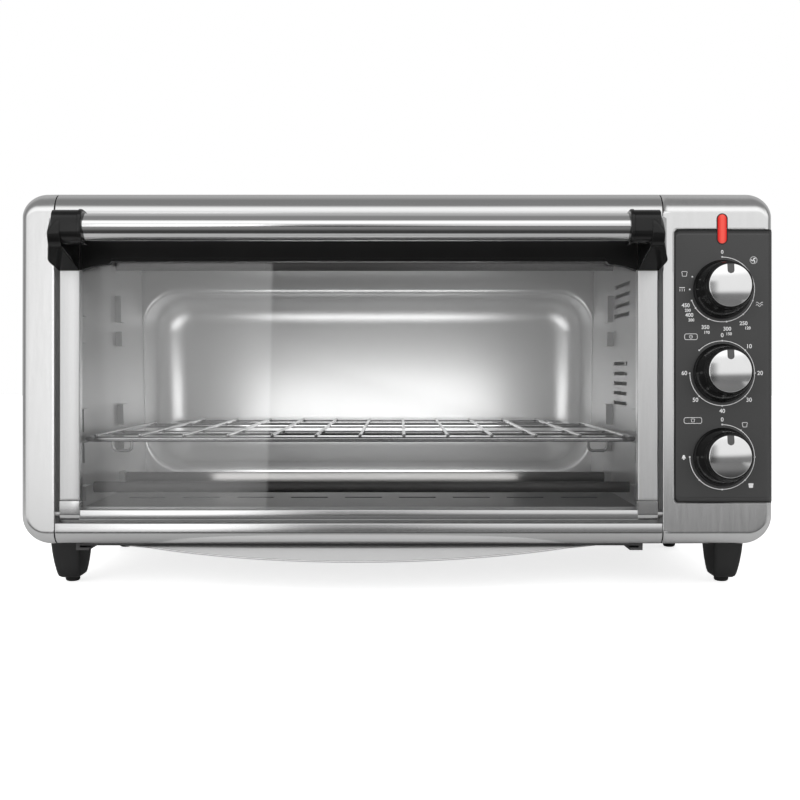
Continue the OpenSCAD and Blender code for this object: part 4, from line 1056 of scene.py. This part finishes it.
corner = np.concatenate([[0.5 * MM, bulge_corner + 2 * MM], np.full(9, bulge_corner),
                         bulge_corner - 20 * MM * into_far])
ring_y = np.concatenate([[wall_y, wall_y], wall_y + mouth * into_far, deep_y - far + far * np.sin(t)])
gx, gz = rounded_rings(half_w, half_h, corner, 10)
rings = np.stack([back_x + gx, ring_y[:, None] + 0 * gx, centre_z + gz], -1)
points, faces = loft(rings, caps=False)
faces.append(list(range(len(points) - rings.shape[1], len(points))))
put_piece("cavity_back_pressing", [(points, faces)], "oven", cavity_steel, ["cavity_back"],
          facing=(0, -1, 0), wall=0.8 * MM, crease=40)

# %% [markdown]
# The rack is welded from round wire: one bent frame wire, two bars across it, thin cross wires
# lying on top and two small draw hooks hanging under the front rail.

# %% Wire rack
rack_low, rack_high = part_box("wire_rack")
rack_x, rack_half = (rack_low[0] + rack_high[0]) / 2, (rack_high[0] - rack_low[0]) / 2 - 2 * MM
FRAME_R, CROSS_R, HOOK_R, CROSS_WIRES = 2.0 * MM, 1.3 * MM, 1.1 * MM, 13
END_GAP, STEP_IN, REAR_CORNER = 8.6 * MM, 16 * MM, 24 * MM
HOOK_IN, HOOK_HALF, HOOK_DROP = 28 * MM, 7 * MM, 8.5 * MM
rack_z = rack_high[2] - FRAME_R - 2 * CROSS_R + 0.5 * MM
front_y, rear_y, step_y = FRONT_Y + 39 * MM, rack_high[1] - FRAME_R, FRONT_Y + 242 * MM
rear_half = rack_half - STEP_IN
right_side = np.array([(rack_half, front_y), (rack_half, step_y), (rear_half, step_y + 5 * MM),
                       (rear_half, rear_y)])
whole = np.concatenate([[(-rack_half, front_y)], right_side, right_side[:0:-1] * (-1, 1)])
loop = round_corners(whole, np.array([10, 10, 8, 6, 22, 22, 6, 8]) * MM, 9)
loop = np.c_[rack_x + loop[:, 0], loop[:, 1], np.full(len(loop), rack_z)]
wires = [rod(loop, FRAME_R, 14, closed=True)]
pitch = 2 * (rack_half - END_GAP) / (CROSS_WIRES - 1)
cross_z = rack_z + FRAME_R + 0.8 * MM
cross_r = CROSS_R * np.array([0.5, 1] + [1] * 8 + [0.6])
for i in range(CROSS_WIRES):
    wire_x = (i - (CROSS_WIRES - 1) / 2) * pitch
    back_y = rear_y if abs(wire_x) < rear_half - REAR_CORNER else step_y
    y = np.concatenate([[front_y - 1.6 * MM, front_y - 1.5 * MM], np.linspace(front_y, back_y, 8),
                        [back_y + 1 * MM]])
    wires.append(rod(np.c_[rack_x + wire_x + 0 * y, y, cross_z + 0 * y], cross_r, 10))
for y in (FRONT_Y + 120 * MM, step_y):
    wires.append(rod([(x, y, rack_z) for x in (rack_x - rack_half, rack_x, rack_x + rack_half)], FRAME_R, 12))
for side in (-1, 1):
    hook_x = rack_x + side * (rack_half - HOOK_IN)
    left, right = hook_x - HOOK_HALF, hook_x + HOOK_HALF
    low_y, low_z = front_y - 0.2 * MM, rack_z - HOOK_DROP
    hook = [(left, front_y, rack_z), (left, low_y, low_z), (right, low_y, low_z), (right, front_y, rack_z)]
    wires.append(rod(round_corners(hook, 4 * MM, 7, closed=False), HOOK_R, 10, up=(0, 1, 0)))
# The wires take the darkened plating, painted shade of the cavity round them.
put_piece("rack_wires", wires, "rack", rack_wire_painted_shade, ["wire_rack"])

# %% [markdown]
# The crumb tray is a flat pan whose front lip slopes down and ends in a long bow with a rolled
# hem. The lip's rows run from the fold to the bow, so the sheet bends only once. Two round
# beads stiffen the pan's sides.

# %% Crumb tray
tray_low, tray_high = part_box("crumb_tray")
tray_x, tray_half = (tray_high[0] + tray_low[0]) / 2, (tray_high[0] - tray_low[0]) / 2
bow_depth, rib_r, hem_r = 70 * MM, 1.0 * MM, 0.7 * MM
bow_r = (tray_half ** 2 + bow_depth ** 2) / (2 * bow_depth)
fold_y, lip_y = FRONT_Y + 12 * MM, tray_low[1]
flat_z, drop = tray_high[2], tray_high[2] - tray_low[2] - 1 * MM


def tray_fall(y):
    """How far the sheet lies below the pan at y: nothing behind the fold, `drop` at the lip."""
    return drop * np.clip((fold_y - y) / (fold_y - lip_y), 0, 1)


tx = np.linspace(-tray_half, tray_half, 81)
bow_y = lip_y + bow_r - np.sqrt(bow_r ** 2 - tx ** 2)
turn_y = np.maximum(bow_y, fold_y)
rear = np.full_like(tx, tray_high[1])
v = np.append(np.linspace(0, 0.95, 8), 1.0)[:, None]
rows_y = np.concatenate([rear[None], (bow_y + (rear - bow_y) * 0.5)[None], turn_y + (bow_y - turn_y) * v])
sheet = np.stack([np.broadcast_to(tray_x + tx, rows_y.shape), rows_y, flat_z - tray_fall(rows_y)], -1)
pan, lip = loft(sheet[:3], wrap=False, caps=False), loft(sheet[2:], wrap=False, caps=False)
put_piece("crumb_tray_pan", [pan], "tray", pan_steel, ["crumb_tray"],
          facing=(0, 0, 1), wall=SHEET)
# The lip takes its own near-white finish, painted light that stands for the reflection on it.
put_piece("crumb_tray_lip", [lip], "tray", lip_painted_bright, facing=(0, 0, 1), wall=SHEET)
rib_y, rib_z = np.linspace(fold_y + 14 * MM, tray_high[1] - 2 * MM, 24), flat_z - 0.7 * MM
beads = []
for side in (-1, 1):
    rib_x = tray_x + side * (tray_half - 5 * MM)
    beads.append(rod(np.c_[rib_x + 0 * rib_y, rib_y, rib_z + 0 * rib_y], rib_r, 8))
put_piece("crumb_tray_beads", beads, "tray", pan_steel)
hem = rod(np.c_[tray_x + tx * 0.999, bow_y + hem_r, flat_z - 0.5 * MM - tray_fall(bow_y)], hem_r, 8)
put_piece("crumb_tray_hem", [hem], "tray", plain_steel)

# %% [markdown]
# The feet taper towards a rubber nub. Each is a stack of rounded rectangles whose two half
# sizes shrink at different rates, with a softly rounded underside.

# %% Feet and rubber pads
foot_low, foot_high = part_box("feet")
FOOT_IN, FOOT_FRONT, FOOT_REAR, FOOT_CORNER = 10 * MM, 47 * MM, 212 * MM, 3.2 * MM
foot_x = (foot_high[0] - foot_low[0]) / 2 - FOOT_IN
FOOT_H = np.array([34.0, 30.0, 24.0, 16.0, 10.0, 7.0, 5.2, 4.2, 3.8])[:, None] * MM
FOOT_W = np.array([11.0, 10.9, 10.6, 10.0, 9.3, 8.8, 8.2, 7.0, 4.8]) * MM
FOOT_D = np.array([19.0, 18.6, 17.6, 15.4, 13.2, 11.9, 10.8, 9.4, 7.0]) * MM
PAD = [(0.01, 0.0), (3.6, 0.0), (4.6, 0.35), (5.3, 1.2), (5.5, 2.4), (5.2, 3.6), (5.0, 4.4), (0.01, 4.4)]
feet, pads = [], []
gx, gy = rounded_rings(FOOT_W, FOOT_D, np.minimum(FOOT_CORNER, FOOT_W * 0.7), 6)
px, py, pz = (grid * MM for grid in turned(PAD, 40))
for x in (-foot_x, foot_x):
    for y in (FRONT_Y + FOOT_FRONT, FRONT_Y + FOOT_REAR):
        feet.append(loft(np.stack([x + gx, y + gy, FOOT_H + 0 * gx], -1)))
        pads.append(loft(np.stack([x + px, y + py, pz], -1), caps=False))
put_piece("feet_moulded", feet, "oven", foot_black, ["feet"], crease=40)
put_piece("foot_rubber", pads, "oven", rubber_black, ["foot_pads"], crease=40)

# %% [markdown]
# The oven stands on a plain pale floor in a white studio. Bright steel shows what stands round
# it, so the floor and the sky have one brightness for rays that come off a shiny surface, where
# they act like cards set up round the oven, and plain ones for matt surfaces and for the view.

# %% Floor
FLOOR_HALF, MATT_TONE, OPEN_TONE, VIEW_GLOW = 6, (0.86, 0.86, 0.86, 1), 0.72, 0.75
world = bpy.data.worlds.new("studio")
world.use_nodes = True
floor_mesh = bpy.data.meshes.new("floor")
gx, gy = np.meshgrid(*[np.linspace(-FLOOR_HALF, FLOOR_HALF, 13)] * 2)
floor_points = np.stack([gx, gy, 0 * gx], -1).reshape(-1, 3)
floor_mesh.from_pydata(floor_points.tolist(), [], grid_faces(13, 13).tolist())
floor = bpy.data.objects.new("floor", floor_mesh)
bpy.context.scene.collection.objects.link(floor)
floor_material, tree, shader = new_material("pale floor")
ray = add(tree, "LightPath").outputs
place = add(tree, "SeparateXYZ", {0: object_place(tree)}).outputs
across, ahead = arithmetic(tree, "ABSOLUTE", place[0]), times(tree, place[1], -1.0)
beside_card = ramp(tree, minus(tree, across, times(tree, ahead, 0.5)), 0.5, 0.2)
dark_card = times(tree, ramp(tree, ahead, 0.30, 0.36), beside_card)
card_tone = times(tree, dark_card, ramp(tree, ahead, 0.45, 0.9, 0.06, 0.22))
open_tone = times(tree, minus(tree, 1.0, dark_card), OPEN_TONE)
tone = add(tree, "Mix", {"Factor": ray["Is Glossy Ray"], 6: MATT_TONE}, data_type="RGBA")
tree.links.new(plus(tree, card_tone, open_tone), tone.inputs[7])
tree.links.new(tone.outputs[2], shader.inputs["Base Color"])
mottle = noise(tree, object_place(tree), 6.0, 3.0)
tree.links.new(plus(tree, times(tree, mottle, 0.1), 0.8), shader.inputs["Roughness"])
shader.inputs["Specular IOR Level"].default_value = 0.1
shader.inputs["Emission Color"].default_value = (1, 1, 1, 1)
tree.links.new(times(tree, ray["Is Camera Ray"], VIEW_GLOW), shader.inputs["Emission Strength"])
floor_mesh.materials.append(floor_material)
floor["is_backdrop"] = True


# %% [markdown]
# One soft fill light stands in front. Two small lamps inside the cavity light the pressing, so
# that the interior reads through the glass: one under the roof and one that faces the back.

# %% Lamps
def softbox(name, place, target, width, height, power):
    """Rectangular soft light aimed at a point and hidden from the view."""
    light = bpy.data.lights.new(name, "AREA")
    light.shape, light.size, light.size_y, light.energy = "RECTANGLE", width, height, power
    holder = bpy.data.objects.new(name, light)
    bpy.context.scene.collection.objects.link(holder)
    holder.location = place
    gap = np.array(target, float) - np.array(place, float)
    holder.rotation_euler = (math.atan2(math.hypot(gap[0], gap[1]), -gap[2]), 0, math.atan2(-gap[0], gap[1]))
    holder.visible_camera = False
    return holder


fill = softbox("front fill", (-1.0, -2.2, 1.0), (0, 0, 0.15), 1.6, 1.2, 14)
fill.visible_glossy = fill.visible_transmission = False
softbox("cavity roof lamp", (DOOR_X, FRONT_Y + 120 * MM, roof_z - 3 * MM), (DOOR_X, FRONT_Y + 160 * MM, 0),
        0.36, 0.10, 0.05)
softbox("cavity back lamp", (DOOR_X, FRONT_Y + 150 * MM, 0.104), (DOOR_X, FRONT_Y + 330 * MM, 0.100),
        0.26, 0.085, 0.33)

# %% [markdown]
# The sky's cards are written with the direction a ray goes in: `side_x` to the right, `up`, and
# `ahead` out of the oven's front. A skyline parts the dark foreground from the bright front, a
# card darkens what the door reflects, the strip left of it adds haze to the glass, a band high
# up lights the rolled edges and a strip on the right lights the side.

# %% Sky
CARD_DARKENS, HAZE, HIGH_BAND, RIGHT_STRIP = 0.7, 0.9, 0.35, 0.7
CARD_LEAN, MATT_SKY, VIEW_SKY = 0.033, 0.75, 1.0
bpy.context.scene.world = world
tree = world.node_tree
way = add(tree, "SeparateXYZ", {0: add(tree, "TexCoord").outputs["Generated"]}).outputs
side_x, ahead, up = way[0], times(tree, way[1], -1.0), way[2]
skyline = ramp(tree, side_x, -0.26, -0.10, -0.17, 0.10)
front_light = ramp(tree, minus(tree, up, skyline), -0.04, 0.04, 0.20, 0.92)
card_edge = minus(tree, side_x, times(tree, up, CARD_LEAN))
below_top = ramp(tree, up, 0.33, 0.28)
door_card = times(tree, ramp(tree, card_edge, -0.123, -0.119), ramp(tree, side_x, 0.10, -0.06), below_top)
front_light = times(tree, front_light, minus(tree, 1.0, times(tree, door_card, CARD_DARKENS)))
haze = times(tree, ramp(tree, card_edge, -0.119, -0.123), ramp(tree, side_x, -0.262, -0.25),
             ramp(tree, up, 0.02, 0.06), below_top)
front_light = plus(tree, front_light, times(tree, haze, HAZE))
front_share = times(tree, ramp(tree, ahead, 0.3, 0.75), ramp(tree, up, 0.84, 0.74))
high_band = times(tree, ramp(tree, up, 0.37, 0.45), ramp(tree, up, 0.78, 0.66), ramp(tree, ahead, 0.3, 0.5))
right_light = times(tree, ramp(tree, side_x, 0.6, 0.75), ramp(tree, side_x, 0.95, 0.85),
                    ramp(tree, ahead, 0.1, 0.3))
surround = plus(tree, ramp(tree, ahead, 0.0, -0.5, 0.27, 0.5), times(tree, right_light, RIGHT_STRIP))
front_light = times(tree, front_light, front_share)
surround = times(tree, surround, minus(tree, 1.0, front_share))
level = plus(tree, plus(tree, front_light, surround), times(tree, high_band, HIGH_BAND))
ray = add(tree, "LightPath").outputs
for kind, strength in (("Is Diffuse Ray", MATT_SKY), ("Is Camera Ray", VIEW_SKY)):
    choice = add(tree, "Mix", {"Factor": ray[kind], "A": level, "B": strength}, data_type="FLOAT")
    level = choice.outputs["Result"]
tree.links.new(level, tree.nodes["Background"].inputs["Strength"])
tree.nodes["Background"].inputs["Color"].default_value = (1, 1, 1, 1)
bpy.context.scene.view_settings.view_transform = "Standard"

# %% Camera
camera = bpy.data.cameras.new("camera")
camera.lens, camera.sensor_width, camera.shift_y = 50, 36, 67 / 800
eye = bpy.data.objects.new("camera", camera)
bpy.context.scene.collection.objects.link(eye)
eye.location = (0.0023, -0.9573, 0.1606)
eye.rotation_euler = (math.radians(85), 0, 0)
bpy.context.scene.camera = eye

# %% Write the sizes and finish
visual_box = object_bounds()
rounded_boxes = [[[round(c, 4) for c in corner] for corner in box] for box in (cad_box, visual_box)]
print("cad box", rounded_boxes[0], "visual box", rounded_boxes[1])
